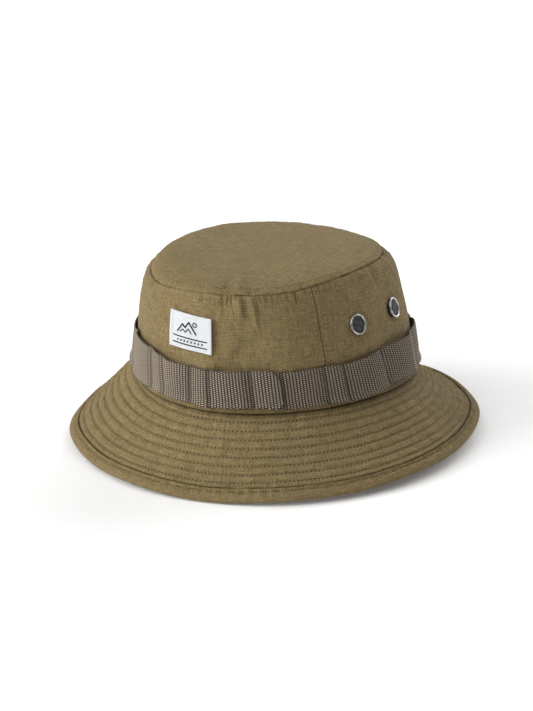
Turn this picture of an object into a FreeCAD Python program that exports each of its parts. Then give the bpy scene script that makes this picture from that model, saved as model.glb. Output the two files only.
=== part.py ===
import FreeCAD, Part
import Sketcher
import math
import os

# A boonie hat, standing on its brim. Millimetres, +Z up, the front of the hat towards -Y.
# The origin is on the floor, under the middle of the hat.
# A place on the hat is an angle round it (0 at the front, growing towards +X) and a level,
# which runs from 0 to 1 up the crown wall, out along the brim, or out along the top panel.

Vector = FreeCAD.Vector
document = FreeCAD.newDocument("boonie_hat")
sheet = document.addObject("Spreadsheet::Sheet", "dimensions")

DIMENSIONS = [
    # The oval where the crown meets the brim; its height swings round the hat.
    ("base_half_width", 90.7), ("base_half_depth", 101.7), ("base_centre_y", 0.0),
    ("base_height", 44.1), ("base_nod", 4.5), ("base_lean", -4.1),
    ("base_saddle", -3.9), ("base_twist", 0.0),
    # The oval where the crown wall meets the top panel.
    ("seam_half_width", 69.1), ("seam_half_depth", 91.0), ("seam_centre_y", -6.2),
    ("seam_height", 121.3), ("seam_nod", 0.5), ("seam_lean", -2.8),
    ("seam_saddle", -2.5), ("seam_twist", 0.0),
    # The outer edge of the brim.
    ("edge_half_width", 136.4), ("edge_half_depth", 146.0), ("edge_centre_y", 0.0),
    ("edge_height", 5.82), ("edge_nod", -0.9), ("edge_lean", 2.5),
    ("edge_saddle", -0.7), ("edge_twist", -2.4),
    ("wall_bulge", 4.8), ("brim_sag", 2.0), ("top_rise", 5.0), ("flat_middle", 0.2),
    # Cloth.
    ("crown_cloth", 1.0), ("brim_cloth", 0.8), ("interlining_cloth", 1.3), ("cloth_gap", 0.15),
    ("brim_width", 61.0), ("wall_height", 80.0),
    ("front_seam_angle", 63.7), ("back_seam_angle", 128.0), ("panel_gap_angle", 0.06),
    ("sweatband_cloth", 1.5), ("sweatband_width", 30.0), ("sweatband_inset", 1.0),
    ("tape_cloth", 0.6), ("tape_width", 9.0), ("tape_low_margin", 2.0), ("tape_high_margin", 4.0),
    ("top_tape_width", 7.0), ("top_tape_inset", 2.5),
    # Binding round the edge of the brim.
    ("binding_lip", 9.0), ("binding_cloth", 0.7), ("binding_roll", 2.5), ("brim_inset", 3.4),
    # Webbing band.
    ("webbing_width", 25.6), ("webbing_cloth", 1.5), ("webbing_low_level", 0.065),
    ("webbing_clearance", 0.4), ("webbing_slack", 1.9), ("tack_count", 14.0), ("tack_phase", 12.0),
    # Thread.
    ("thread_width", 0.6), ("thread_height", 0.35),
    ("brim_row_count", 8.0), ("brim_row_first", 0.083), ("brim_row_pitch", 0.0985),
    ("crown_row_inset", 4.0),
    # Labels.
    ("label_first_angle", -2.4), ("label_last_angle", 18.8),
    ("label_low_level", 0.53), ("label_high_level", 0.84), ("label_cloth", 0.5),
    ("size_label_width", 26.0), ("size_label_drop", 26.0), ("size_label_cloth", 0.5),
    ("size_label_back", 95.25), ("size_label_top", 62.0), ("size_label_fold", 0.45),
    ("size_tab_low_level", 0.332), ("size_tab_high_level", 0.375), ("size_tab_half_angle", 8.7),
    # Vent eyelets, their washers and their mesh discs, each on its own axis.
    ("vent_first_angle", 82.2), ("vent_first_level", 0.635),
    ("vent_second_angle", 107.8), ("vent_second_level", 0.65),
    ("vent_bore", 5.9), ("vent_barrel", 6.3), ("vent_flange", 7.6), ("vent_crown", 1.5),
    ("vent_seat", 0.1), ("vent_depth", 2.3), ("vent_hole", 6.6),
    ("washer_near", 1.5), ("washer_far", 2.0), ("washer_bore", 6.5), ("washer_rim", 8.6),
    ("mesh_disc", 5.85), ("mesh_low", 0.1), ("mesh_high", 0.6),
]
for row, (alias, number) in enumerate(DIMENSIONS, start=1):
    sheet.set("A%d" % row, alias)
    sheet.set("B%d" % row, str(number))
    sheet.setAlias("B%d" % row, alias)
document.recompute()
size = {alias: float(sheet.get(alias)) for alias, number in DIMENSIONS}

RING_POINTS = 48
LEVEL_STEPS = 10
TAPE_STEPS = 3
TOP_LEVELS = (size["flat_middle"], 0.4, 0.6, 0.8, 0.92, 1.0)
ROLL_CORNERS = (60, 36, 12, -12, -36, -60)
pieces = []


# ---------- the three surfaces of the hat ----------

def outward(phi):
    return Vector(math.sin(phi), -math.cos(phi), 0)


def oval(name, phi):
    """A point of the base, seam or edge oval."""
    height = size[name + "_height"]
    height += size[name + "_nod"] * math.cos(phi) + size[name + "_lean"] * math.sin(phi)
    height += size[name + "_saddle"] * math.cos(2 * phi) + size[name + "_twist"] * math.sin(2 * phi)
    across = size[name + "_half_width"] * math.sin(phi)
    along = size[name + "_centre_y"] - size[name + "_half_depth"] * math.cos(phi)
    return Vector(across, along, height)


def arch(level):
    """0 at both ends of a level's run and 1 in its middle."""
    return 4 * level * (1 - level)


def wall(phi, level):
    low, high = oval("base", phi), oval("seam", phi)
    return low + (high - low) * level + outward(phi) * (size["wall_bulge"] * arch(level))


def brim(phi, level):
    inner, outer = oval("base", phi), oval("edge", phi)
    return inner + (outer - inner) * level - Vector(0, 0, size["brim_sag"] * arch(level))


def normal(surface, phi, level):
    """The unit normal that points up or away from the head."""
    step = 1e-4
    round_hat = surface(phi + step, level) - surface(phi - step, level)
    along_level = surface(phi, level + step) - surface(phi, level - step)
    direction = round_hat.cross(along_level)
    if direction.dot(outward(phi) + Vector(0, 0, 1)) < 0:
        direction = direction * -1
    return direction.normalize()


def wall_skin(phi, level, offset):
    return wall(phi, level) + normal(wall, phi, level) * offset


def brim_skin(phi, level, offset):
    return brim(phi, level) + normal(brim, phi, level) * offset


def top_skin(phi, level, offset):
    """The domed top panel; its middle is level, so a plain disc closes it."""
    rim = oval("seam", phi)
    across = rim.x * level
    along = size["seam_centre_y"] + (rim.y - size["seam_centre_y"]) * level
    swing = max(0.0, (level - size["flat_middle"]) / (1 - size["flat_middle"])) ** 2
    height = size["seam_height"] + size["top_rise"] * (1 - level ** 2)
    height += (rim.z - size["seam_height"]) * swing
    return Vector(across, along, height + offset)


def webbing_skin(phi, level, offset):
    """The webbing hugs the wall at each tack and stands off it between tacks."""
    turns = size["tack_count"] * (phi - math.radians(size["tack_phase"]))
    slack = size["webbing_slack"] * (1 - math.cos(turns)) / 2
    return wall_skin(phi, level, offset + slack)


# ---------- solids that follow a surface ----------

def spread(first, last, steps):
    return [first + (last - first) * index / steps for index in range(steps + 1)]


def curve(skin, level, offset, span=None, points=RING_POINTS):
    """A smooth line round the hat, closed unless a span of two angles is given."""
    line = Part.BSplineCurve()
    if span is None:
        angles = spread(0, 2 * math.pi, points)[:-1]
        line.interpolate([skin(phi, level, offset) for phi in angles], PeriodicFlag=True)
    else:
        angles = spread(span[0], span[1], points)
        line.interpolate([skin(phi, level, offset) for phi in angles])
    return line.toShape()


def closed_solid(faces):
    shell = Part.makeShell(faces)
    shell.sewShape()
    solid = Part.makeSolid(shell)
    if solid.Volume < 0:
        solid.reverse()
    return solid


def profile_ring(skin, profile, points=RING_POINTS):
    """A closed ring round the hat; profile lists its corners as (level, offset) in order."""
    lines = [curve(skin, level, offset, None, points) for level, offset in profile]
    faces = [Part.makeRuledSurface(lines[i - 1], lines[i]) for i in range(len(lines))]
    return closed_solid(faces)


def slab_profile(levels, low, high):
    return [(level, high) for level in levels] + [(level, low) for level in reversed(levels)]


def sector(skin, levels, low, high, span):
    """A piece of cloth between two angles."""
    upper = [curve(skin, level, high, span) for level in levels]
    under = [curve(skin, level, low, span) for level in levels]
    faces = [Part.makeRuledSurface(upper[0], under[0]), Part.makeRuledSurface(upper[-1], under[-1])]
    for first, second in zip(range(len(levels) - 1), range(1, len(levels))):
        faces.append(Part.makeRuledSurface(upper[first], upper[second]))
        faces.append(Part.makeRuledSurface(under[first], under[second]))
        for phi in span:
            sides = [Part.makeLine(skin(phi, levels[first], offset), skin(phi, levels[second], offset))
                     for offset in (high, low)]
            faces.append(Part.makeRuledSurface(*sides))
    return closed_solid(faces)


def sheet_object(name, shape):
    """A sub-part whose shape follows a surface."""
    piece = document.addObject("Part::Feature", name)
    piece.Label = name
    piece.Shape = shape
    piece.Placement = FreeCAD.Placement()
    pieces.append(piece)


def along_wall(length):
    return length / size["wall_height"]


def along_brim(length):
    return length / size["brim_width"]


# ---------- crown ----------

def crown_levels():
    return spread(0.0, 1 - along_wall(size["crown_cloth"] + 2 * size["cloth_gap"]), LEVEL_STEPS)


def vent_places():
    """The four vents by name, two on each side: the centre on the wall and the wall's normal there."""
    places = {}
    for side, sign in (("left", 1), ("right", -1)):
        for spot, number in (("front", "first"), ("rear", "second")):
            angle = sign * math.radians(size["vent_%s_angle" % number])
            level = size["vent_%s_level" % number]
            places["%s_%s" % (side, spot)] = (wall(angle, level), normal(wall, angle, level))
    return places


def crown_panel(name, first, last, vents=()):
    gap = size["panel_gap_angle"]
    span = (math.radians(first + gap), math.radians(last - gap))
    shape = sector(wall_skin, crown_levels(), -size["crown_cloth"], 0.0, span)
    for centre, axis in vents:
        depth = size["vent_hole"]
        cutter = Part.makeCylinder(size["vent_hole"], 2 * depth, centre - axis * depth, axis)
        shape = shape.cut(cutter)
    sheet_object(name, shape.Solids[0])


def crown_top():
    """The oval top panel, resting on the wall's upper edge."""
    faces = []
    for offset in (0.0, -size["crown_cloth"]):
        lines = [curve(top_skin, level, offset) for level in TOP_LEVELS]
        faces.append(Part.Face(Part.Wire([lines[0]])))
        faces += [Part.makeRuledSurface(lines[i], lines[i + 1]) for i in range(len(lines) - 1)]
    rims = [curve(top_skin, 1.0, offset) for offset in (0.0, -size["crown_cloth"])]
    faces.append(Part.makeRuledSurface(*rims))
    sheet_object("crown_top", closed_solid(faces))


def behind_crown(extra):
    """An offset inside the crown cloth."""
    return -size["crown_cloth"] - size["cloth_gap"] - extra


def sweatband():
    low = along_wall(size["sweatband_inset"])
    levels = spread(low, low + along_wall(size["sweatband_width"]), TAPE_STEPS)
    profile = slab_profile(levels, behind_crown(size["sweatband_cloth"]), behind_crown(0.0))
    sheet_object("sweatband", profile_ring(wall_skin, profile))


def top_seam_tape():
    high = 1 - along_wall(size["top_tape_inset"])
    levels = [high - along_wall(size["top_tape_width"]), high]
    profile = slab_profile(levels, behind_crown(size["tape_cloth"]), behind_crown(0.0))
    sheet_object("top_seam_tape", profile_ring(wall_skin, profile))


def wall_seam_tape(name, angle_degrees):
    angle = math.radians(angle_degrees)
    half = size["tape_width"] / 2 / size["base_half_depth"]
    low = along_wall(size["sweatband_width"] + size["tape_low_margin"])
    high = 1 - along_wall(size["top_tape_width"] + size["tape_high_margin"])
    span = (angle - half, angle + half)
    levels = spread(low, high, TAPE_STEPS)
    shape = sector(wall_skin, levels, behind_crown(size["tape_cloth"]), behind_crown(0.0), span)
    sheet_object(name, shape)


front_angle = size["front_seam_angle"]
back_angle = size["back_seam_angle"]
vents = vent_places()
left_vents = (vents["left_front"], vents["left_rear"])
right_vents = (vents["right_front"], vents["right_rear"])
crown_panel("crown_front_panel", -front_angle, front_angle)
crown_panel("crown_side_panel_left", front_angle, back_angle, left_vents)
crown_panel("crown_side_panel_right", -back_angle, -front_angle, right_vents)
crown_panel("crown_back_panel", back_angle, 360 - back_angle)
crown_top()
sweatband()
top_seam_tape()
wall_seam_tape("seam_tape_front_left", front_angle)
wall_seam_tape("seam_tape_front_right", -front_angle)
wall_seam_tape("seam_tape_back_left", back_angle)
wall_seam_tape("seam_tape_back_right", -back_angle)


# ---------- brim ----------

def brim_layer(name, top, bottom):
    levels = spread(0.0, 1 - along_brim(size["brim_inset"]), LEVEL_STEPS)
    sheet_object(name, profile_ring(brim_skin, slab_profile(levels, bottom, top)))


def brim_depth():
    """The thickness of the whole brim."""
    return 2 * size["brim_cloth"] + size["interlining_cloth"] + 2 * size["cloth_gap"]


def brim_layers():
    cloth, gap, depth = size["brim_cloth"], size["cloth_gap"], brim_depth()
    brim_layer("brim_upper", 0.0, -cloth)
    brim_layer("brim_interlining", -cloth - gap, -depth + cloth + gap)
    brim_layer("brim_lower", -depth + cloth, -depth)


def brim_binding():
    """A strip folded round the brim's edge, with a full round roll outside it."""
    lip, roll = size["binding_lip"], size["binding_roll"]
    cloth, gap = size["binding_cloth"], size["cloth_gap"]
    middle, depth = -brim_depth() / 2, brim_depth()
    slot = size["brim_inset"] - gap
    corners = [(lip, gap), (lip, gap + cloth)]
    for degrees in ROLL_CORNERS:
        turn = math.radians(degrees)
        corners.append((roll - roll * math.cos(turn), middle + roll * math.sin(turn)))
    corners += [(lip, -depth - gap - cloth), (lip, -depth - gap), (slot, -depth - gap), (slot, gap)]
    profile = [(1 - along_brim(inset), offset) for inset, offset in corners]
    sheet_object("brim_binding", profile_ring(brim_skin, profile))


def thread_ring(name, skin, level, along):
    half = along(size["thread_width"]) / 2
    low = size["cloth_gap"]
    profile = slab_profile([level - half, level + half], low, low + size["thread_height"])
    sheet_object(name, profile_ring(skin, profile))


brim_layers()
brim_binding()
for row in range(int(size["brim_row_count"])):
    row_level = size["brim_row_first"] + size["brim_row_pitch"] * row
    thread_ring("brim_stitch_row_%d" % (row + 1), brim_skin, row_level, along_brim)
thread_ring("crown_stitch_row", wall_skin, 1 - along_wall(size["crown_row_inset"]), along_wall)


# ---------- webbing and labels ----------

def webbing_band():
    low = size["webbing_low_level"]
    levels = spread(low, low + along_wall(size["webbing_width"]), 2)
    inner = size["webbing_clearance"]
    profile = slab_profile(levels, inner, inner + size["webbing_cloth"])
    points = 12 * int(size["tack_count"])
    sheet_object("webbing_band", profile_ring(webbing_skin, profile, points))


def front_label():
    levels = spread(size["label_low_level"], size["label_high_level"], 3)
    span = (math.radians(size["label_first_angle"]), math.radians(size["label_last_angle"]))
    low = 2 * size["cloth_gap"]
    sheet_object("front_label", sector(wall_skin, levels, low, low + size["label_cloth"], span))


def size_label():
    """The size label hangs from the fold along its top edge, which it swings about."""
    flap = document.addObject("Part::Box", "size_label_flap")
    flap.setExpression("Length", "dimensions.size_label_width")
    flap.setExpression("Width", "dimensions.size_label_cloth")
    flap.setExpression("Height", "dimensions.size_label_drop")
    flap.setExpression("Placement.Base.x", "-dimensions.size_label_width / 2")
    flap.setExpression("Placement.Base.y", "dimensions.size_label_back - dimensions.size_label_cloth / 2")
    flap.setExpression("Placement.Base.z", "dimensions.size_label_top - dimensions.size_label_drop")
    fold = document.addObject("Part::Cylinder", "size_label_fold")
    fold.Placement.Rotation = FreeCAD.Rotation(Vector(0, 0, 1), Vector(1, 0, 0))
    fold.setExpression("Radius", "dimensions.size_label_fold")
    fold.setExpression("Height", "dimensions.size_label_width")
    fold.setExpression("Placement.Base.x", "-dimensions.size_label_width / 2")
    fold.setExpression("Placement.Base.y", "dimensions.size_label_back")
    fold.setExpression("Placement.Base.z", "dimensions.size_label_top")
    label = document.addObject("Part::Fuse", "size_label")
    label.Label = "size_label"
    label.Base = flap
    label.Tool = fold
    pieces.append(label)


def size_label_tab():
    """The sewn-down end of the size label, on the inner face of the sweatband."""
    levels = [size["size_tab_low_level"], size["size_tab_high_level"]]
    half = math.radians(size["size_tab_half_angle"])
    span = (math.pi - half, math.pi + half)
    face = behind_crown(size["sweatband_cloth"] + size["cloth_gap"])
    shape = sector(wall_skin, levels, face - size["size_label_cloth"], face, span)
    sheet_object("size_label_tab", shape)


webbing_band()
front_label()
size_label()
size_label_tab()


# ---------- vents: turned metal pieces ----------

def origin_plane(body, role):
    return next(plane for plane in body.Origin.OriginFeatures if plane.Role == role)


def turned_body(name, outline, dimensions, centre, axis):
    """A PartDesign body turned about its sketch's upright axis, then laid on the wall.

    outline holds the corners in order; dimensions binds corner distances to the sheet.
    """
    body = document.addObject("PartDesign::Body", name)
    body.Label = name
    sketch = body.newObject("Sketcher::SketchObject", name + "_profile")
    sketch.AttachmentSupport = (origin_plane(body, "XZ_Plane"), [""])
    sketch.MapMode = "FlatFace"
    corners = [Vector(x, y, 0) for x, y in outline]
    for index, corner in enumerate(corners):
        following = corners[(index + 1) % len(corners)]
        sketch.addGeometry(Part.LineSegment(corner, following), False)
    for index in range(len(corners)):
        sketch.addConstraint(Sketcher.Constraint("Coincident", index, 2, (index + 1) % len(corners), 1))
    for index, (across, up) in enumerate(dimensions):
        bounds = (("DistanceX", across, corners[index].x), ("DistanceY", up, corners[index].y))
        for kind, expression, spot in bounds:
            number = sketch.addConstraint(Sketcher.Constraint(kind, -1, 1, index, 1, spot))
            sketch.setExpression("Constraints[%d]" % number, expression)
    turned = body.newObject("PartDesign::Revolution", name + "_turned")
    turned.Profile = sketch
    turned.ReferenceAxis = (sketch, ["V_Axis"])
    turned.Angle = 360
    body.Tip = turned
    body.Placement = FreeCAD.Placement(centre, FreeCAD.Rotation(Vector(0, 0, 1), axis))
    pieces.append(body)


def corner(radius, height):
    """One corner of a turned profile: its numbers and its expressions."""
    def number(expression):
        sign = -1 if expression.startswith("-") else 1
        alias, _, factor = expression.lstrip("-").partition(" * ")
        return sign * size[alias] * float(factor or 1)

    def bound(expression):
        sign = "-" if expression.startswith("-") else ""
        return sign + "dimensions." + expression.lstrip("-")
    return (number(radius), number(height)), (bound(radius), bound(height))


EYELET = [
    corner("vent_bore", "-vent_depth"),
    corner("vent_barrel", "-vent_depth"),
    corner("vent_barrel", "vent_seat"),
    corner("vent_flange", "vent_seat"),
    corner("vent_flange", "vent_crown * 0.4"),
    corner("vent_flange * 0.975", "vent_crown * 0.8"),
    corner("vent_flange * 0.93", "vent_crown"),
    corner("vent_flange * 0.87", "vent_crown"),
    corner("vent_flange * 0.81", "vent_crown * 0.8"),
    corner("vent_bore", "vent_crown * 0.5"),
]
WASHER = [
    corner("washer_bore", "-washer_far"),
    corner("washer_rim", "-washer_far"),
    corner("washer_rim", "-washer_near"),
    corner("washer_bore", "-washer_near"),
]


def vent_mesh(name, centre, axis):
    """The mesh disc of a vent, as one plain disc."""
    disc = document.addObject("Part::Cylinder", name)
    disc.Label = name
    disc.setExpression("Radius", "dimensions.mesh_disc")
    disc.setExpression("Height", "dimensions.mesh_high - dimensions.mesh_low")
    disc.Placement = FreeCAD.Placement(centre + axis * size["mesh_low"],
                                       FreeCAD.Rotation(Vector(0, 0, 1), axis))
    pieces.append(disc)


for place, (vent_centre, vent_axis) in vents.items():
    for prefix, profile in (("vent_eyelet_", EYELET), ("vent_washer_", WASHER)):
        numbers = [numbers for numbers, expressions in profile]
        expressions = [expressions for numbers, expressions in profile]
        turned_body(prefix + place, numbers, expressions, vent_centre, vent_axis)
    vent_mesh("vent_mesh_" + place, vent_centre, vent_axis)


# ---------- checks and export ----------

document.recompute()
for item in document.Objects:
    if "Invalid" in item.State or "Error" in item.State:
        raise RuntimeError("%s did not build: %s" % (item.Name, item.State))
for piece in pieces:
    if piece.Shape.isNull() or not piece.Shape.isValid() or len(piece.Shape.Solids) != 1:
        raise RuntimeError("%s has no valid single solid" % piece.Label)

os.makedirs("parts", exist_ok=True)
for piece in pieces:
    piece.Shape.exportStep("parts/%s.step" % piece.Label)
    box = piece.Shape.BoundBox
    print("%-26s %9.1f mm3  x %7.1f %7.1f  y %7.1f %7.1f  z %7.1f %7.1f"
          % (piece.Label, piece.Shape.Volume, box.XMin, box.XMax, box.YMin, box.YMax, box.ZMin, box.ZMax))
print(len(pieces), "sub-parts")
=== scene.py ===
import math

import bpy
import numpy as np
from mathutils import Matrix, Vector


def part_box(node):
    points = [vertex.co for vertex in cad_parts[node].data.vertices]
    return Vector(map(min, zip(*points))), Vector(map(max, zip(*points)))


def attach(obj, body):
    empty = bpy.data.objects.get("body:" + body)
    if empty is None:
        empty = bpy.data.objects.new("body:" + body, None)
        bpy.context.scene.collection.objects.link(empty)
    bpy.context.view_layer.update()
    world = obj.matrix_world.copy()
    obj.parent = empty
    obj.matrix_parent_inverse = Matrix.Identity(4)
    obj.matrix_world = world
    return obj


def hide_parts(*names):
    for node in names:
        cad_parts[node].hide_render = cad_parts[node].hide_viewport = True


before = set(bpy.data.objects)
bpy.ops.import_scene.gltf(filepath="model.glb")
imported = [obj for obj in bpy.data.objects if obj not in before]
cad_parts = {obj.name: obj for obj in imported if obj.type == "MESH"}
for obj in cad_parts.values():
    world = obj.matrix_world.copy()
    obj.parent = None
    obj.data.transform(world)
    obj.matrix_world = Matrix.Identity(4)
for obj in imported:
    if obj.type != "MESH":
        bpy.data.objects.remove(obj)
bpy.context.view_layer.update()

# A boonie hat. Lengths are written in millimetres and multiplied by MM.
# A place on the hat is an angle round it (0 at the front, growing towards +X) and a level:
# 0 to 1 up the crown wall, out along the brim, or out along the top panel.
MM = 0.001
TURN = 2 * math.pi
# The angles that a row of stitches right round the hat is laid along.
RING = np.linspace(0, TURN, 721)[:-1]


# ---------------------------------------------------------------- camera, floor and light

CAMERA_AZIMUTH = math.radians(38.8)
CAMERA_ELEVATION = math.radians(18.95)
CAMERA_DISTANCE = 1221.5 * MM
CAMERA_SIDE = -6.7 * MM
CAMERA_RISE = -7.7 * MM
TARGET_HEIGHT = 58.1 * MM
FOCAL_LENGTH = 91.06
SENSOR_WIDTH = 36
CLIP_NEAR, CLIP_FAR = 0.05, 50
WHITE, BLACK = (1, 1, 1, 1), (0, 0, 0, 1)
PAPER_WHITE = (0.93, 0.93, 0.93, 1)

back = Vector((math.sin(CAMERA_AZIMUTH) * math.cos(CAMERA_ELEVATION),
               -math.cos(CAMERA_AZIMUTH) * math.cos(CAMERA_ELEVATION),
               math.sin(CAMERA_ELEVATION)))
right = Vector((math.cos(CAMERA_AZIMUTH), math.sin(CAMERA_AZIMUTH), 0))
up = back.cross(right)


def add_object(name, data):
    item = bpy.data.objects.new(name, data)
    bpy.context.scene.collection.objects.link(item)
    return item


def make_camera():
    data = bpy.data.cameras.new("camera")
    data.sensor_width = SENSOR_WIDTH
    data.lens = FOCAL_LENGTH
    data.clip_start = CLIP_NEAR
    data.clip_end = CLIP_FAR
    camera = add_object("camera", data)
    target = Vector((0, 0, TARGET_HEIGHT)) + right * CAMERA_SIDE + up * CAMERA_RISE
    camera.location = target + back * CAMERA_DISTANCE
    camera.rotation_euler = back.to_track_quat("Z", "Y").to_euler()
    bpy.context.scene.camera = camera


# Soft suns round the hat: name, turn to the camera's right, elevation, strength and softness.
SUNS = (
    ("key", -76, 13, 2.75, 50),
    ("key_high", -62, 42, 1.75, 60),
    ("rear", 142, 22, 2.4, 60),
    ("top", 30, 70, 0.75, 60),
)
SKY_STRENGTH = 0.05
FLOOR_SIZE = 16
FLOOR_DROP = 0.2 * MM
FLOOR_GLOW = 0.10
BACKDROP_RADIUS = 14


def make_sun(name, turn, elevation, strength, softness):
    data = bpy.data.lights.new(name, "SUN")
    data.energy = strength
    data.angle = math.radians(softness)
    turn, rise = math.radians(turn), math.radians(elevation)
    level_back = Vector((back.x, back.y, 0)).normalized()
    level = level_back * math.cos(turn) + right * math.sin(turn)
    toward = level * math.cos(rise) + Vector((0, 0, math.sin(rise)))
    sun = add_object(name, data)
    sun.rotation_euler = toward.to_track_quat("Z", "Y").to_euler()


def paper(name, colour, roughness, specular, glow):
    """Plain paper that also glows white by itself."""
    material = bpy.data.materials.new(name)
    material.use_nodes = True
    settings = {"Base Color": colour, "Roughness": roughness, "Specular IOR Level": specular,
                "Emission Color": WHITE, "Emission Strength": glow}
    for key, value in settings.items():
        material.node_tree.nodes["Principled BSDF"].inputs[key].default_value = value
    return material


def make_light():
    """Soft studio light."""
    world = bpy.data.worlds.new("studio")
    world.use_nodes = True
    bpy.context.scene.world = world
    sky = world.node_tree.nodes["Background"]
    sky.inputs["Color"].default_value = WHITE
    sky.inputs["Strength"].default_value = SKY_STRENGTH
    for sun in SUNS:
        make_sun(*sun)
    bpy.context.scene.view_settings.view_transform = "Standard"


def make_stage():
    """A plain pale floor, and a white ball round everything as its backdrop."""
    bpy.ops.mesh.primitive_plane_add(size=FLOOR_SIZE, location=(0, 0, -FLOOR_DROP))
    floor = bpy.context.object
    floor.name = "floor"
    floor.data.materials.append(paper("paper", PAPER_WHITE, 0.95, 0.1, FLOOR_GLOW))
    bpy.ops.mesh.primitive_ico_sphere_add(subdivisions=4, radius=BACKDROP_RADIUS)
    backdrop = bpy.context.object
    backdrop.name = "backdrop"
    backdrop.data.materials.append(paper("backdrop_paper", BLACK, 0.5, 0, 1))
    # The backdrop is only looked at: it neither lights nor shades the hat.
    for ray in ("diffuse", "glossy", "transmission", "shadow"):
        setattr(backdrop, "visible_" + ray, False)


make_camera()
make_light()
make_stage()


# ---------------------------------------------------------------- smooth shapes and chance

def bell(x, width):
    return np.exp(-0.5 * (x / width) ** 2)


def ease(x, first, last):
    """0 before first, 1 after last and smooth between."""
    share = np.clip((x - first) / (last - first), 0, 1)
    return share * share * (3 - 2 * share)


def full_turn(count):
    """Evenly spaced angles once round, in radians."""
    return np.arange(count) * TURN / count


def grid(down, across):
    return np.meshgrid(down, across, indexing="ij")


def unit(vectors):
    return vectors / np.linalg.norm(vectors, axis=-1, keepdims=True)


def travel(line):
    """The distance along a line of points, from its start."""
    return np.concatenate([[0], np.cumsum(np.linalg.norm(np.diff(line, axis=0), axis=1))])


def turn_between(phi, degrees):
    """The signed angle from a direction to phi, in degrees."""
    return (np.degrees(phi) - degrees + 180) % 360 - 180


def about(phi, angle, spread):
    """A bell about one angle of the hat, both in degrees."""
    return bell(turn_between(phi, angle), spread)


STEPS_PER_DEGREE = 20


def around_hat(marks, soft):
    """A smooth closed curve round the hat near (degrees, value) marks; soft is in degrees."""
    places = np.arange(360 * STEPS_PER_DEGREE) / STEPS_PER_DEGREE
    angles, values = np.array(sorted((angle % 360, value) for angle, value in marks)).T
    waves = np.fft.rfft(np.interp(places, angles, values, period=360))
    waves *= np.exp(-0.5 * (np.arange(len(waves)) * math.radians(soft)) ** 2)
    smooth = np.fft.irfft(waves, len(places))
    return lambda phi: np.interp(np.degrees(phi) % 360, places, smooth, period=360)


def ripple(seed, low, high, count=14):
    """A smooth random function round the hat: sines with whole wave counts from low to high."""
    chance = np.random.default_rng(seed)
    waves = chance.integers(low, high + 1, count)
    phases = chance.uniform(0, TURN, count)
    weights = chance.uniform(0.5, 1.0, count)

    def value(phi):
        total = sum(w * np.sin(k * phi + p) for w, k, p in zip(weights, waves, phases))
        return total / math.sqrt(0.5 * np.sum(weights ** 2))
    return value


def cloud(seed, low, high, rises, count=18):
    """A smooth random function of angle and level."""
    chance = np.random.default_rng(seed)
    waves = chance.integers(low, high + 1, count)
    slopes = chance.uniform(-rises, rises, count)
    phases = chance.uniform(0, TURN, count)

    def value(phi, level):
        total = sum(np.sin(k * phi + TURN * m * level + p) for k, m, p in zip(waves, slopes, phases))
        return total / math.sqrt(0.5 * count)
    return value


# ---------------------------------------------------------------- the surfaces of the hat

# Each oval: half width, half depth, centre along Y, height, then how the height swings
# once round the hat (forward, sideways) and twice (saddle, twist).
OVALS = {
    "base": (90.7, 101.7, 0.0, 44.1, 4.5, -4.1, -3.9, 0.0),
    "seam": (69.1, 91.0, -6.2, 121.3, 0.5, -2.8, -2.5, 0.0),
    "edge": (136.4, 146.0, 0.0, 5.82, -0.9, 2.5, -0.7, -2.4),
}
WALL_HEIGHT = 80.0
BRIM_WIDTH = 61.0
TOP_REACH = 80.0
WALL_RADIUS = 90.0
CROWN_CLOTH = 1.0
BRIM_DEPTH = 3.2
WALL_BULGE = 4.8
BRIM_SAG = 2.0
TOP_RISE = 4.0
SHOULDER_MEAN = 3.2
# The side seams' angles, and how far the front pair lean forward towards the brim.
FRONT_SEAM, BACK_SEAM, SEAM_LEAN = 65.2, 128.0, 2.6
SIDE_SEAMS = (-BACK_SEAM, -FRONT_SEAM, FRONT_SEAM, BACK_SEAM)
# How far the top seam rises and dips: (degrees, millimetres).
SEAM_WAVE = around_hat((
    (-60, -5.0), (-42, -4.8), (-30, -3.2), (-15, -1.6), (-2, 0.7), (13, 1.6), (27, 0.8), (40, -0.1),
    (52, -1.0), (58, -0.9), (64, -0.1), (74, 1.1), (82, 2.0), (92, 2.6), (110, 2.4), (125, 1.2),
    (150, -0.4), (170, -0.2), (190, 0.2), (230, -0.3), (250, -1.2), (268, -2.4), (285, -4.0)), 2.5)
# The crown isn't a true oval. How far its rim reaches out, how far the top falls to its
# shoulder and how far the wall rolls out below the seam: (degrees, millimetres).
RIM_REACH = around_hat((
    (-110, -0.8), (-80, 0.4), (-55, 1.0), (-35, -0.6), (-12, -0.2), (0, 0), (60, 0), (80, -0.2),
    (95, -0.9), (110, -1.6), (129, -3.0), (160, -2.0), (190, -1.4), (230, -1.2)), 6.0)
SHOULDER_DROP = around_hat((
    (-60, 3.6), (40, 3.2), (80, 3.0), (105, 4.0), (130, 5.6), (155, 4.6), (180, 3.6), (260, 3.2)), 8.0)
WALL_ROLL = around_hat((
    (-80, 3.4), (-52, 3.6), (-35, 2.6), (-20, 1.4), (0, 0.6), (20, 0.3), (60, 0.5), (80, 1.6),
    (95, 3.2), (110, 5.0), (129, 6.6), (150, 5.5), (180, 4.0), (230, 3.0)), 6.0)
ROLL_GAIN = 1.35
# The wall bulges less at the front right: millimetres, then degrees.
FLAT_DEPTH, FLAT_ANGLE, FLAT_SPREAD = 3.8, -54.0, 24.0
# Powers of the level: how late each of these sets in on the way to the top seam.
ROLL_OUT, ROLL_BACK, WALL_WAVE = 3, 16, 6
SHOULDER_START, SHOULDER_END, TOP_SWING, TOP_WAVE = 4, 24, 3, 14


def stack(x, y, z):
    return np.stack(np.broadcast_arrays(x, y, z), axis=-1)


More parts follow.
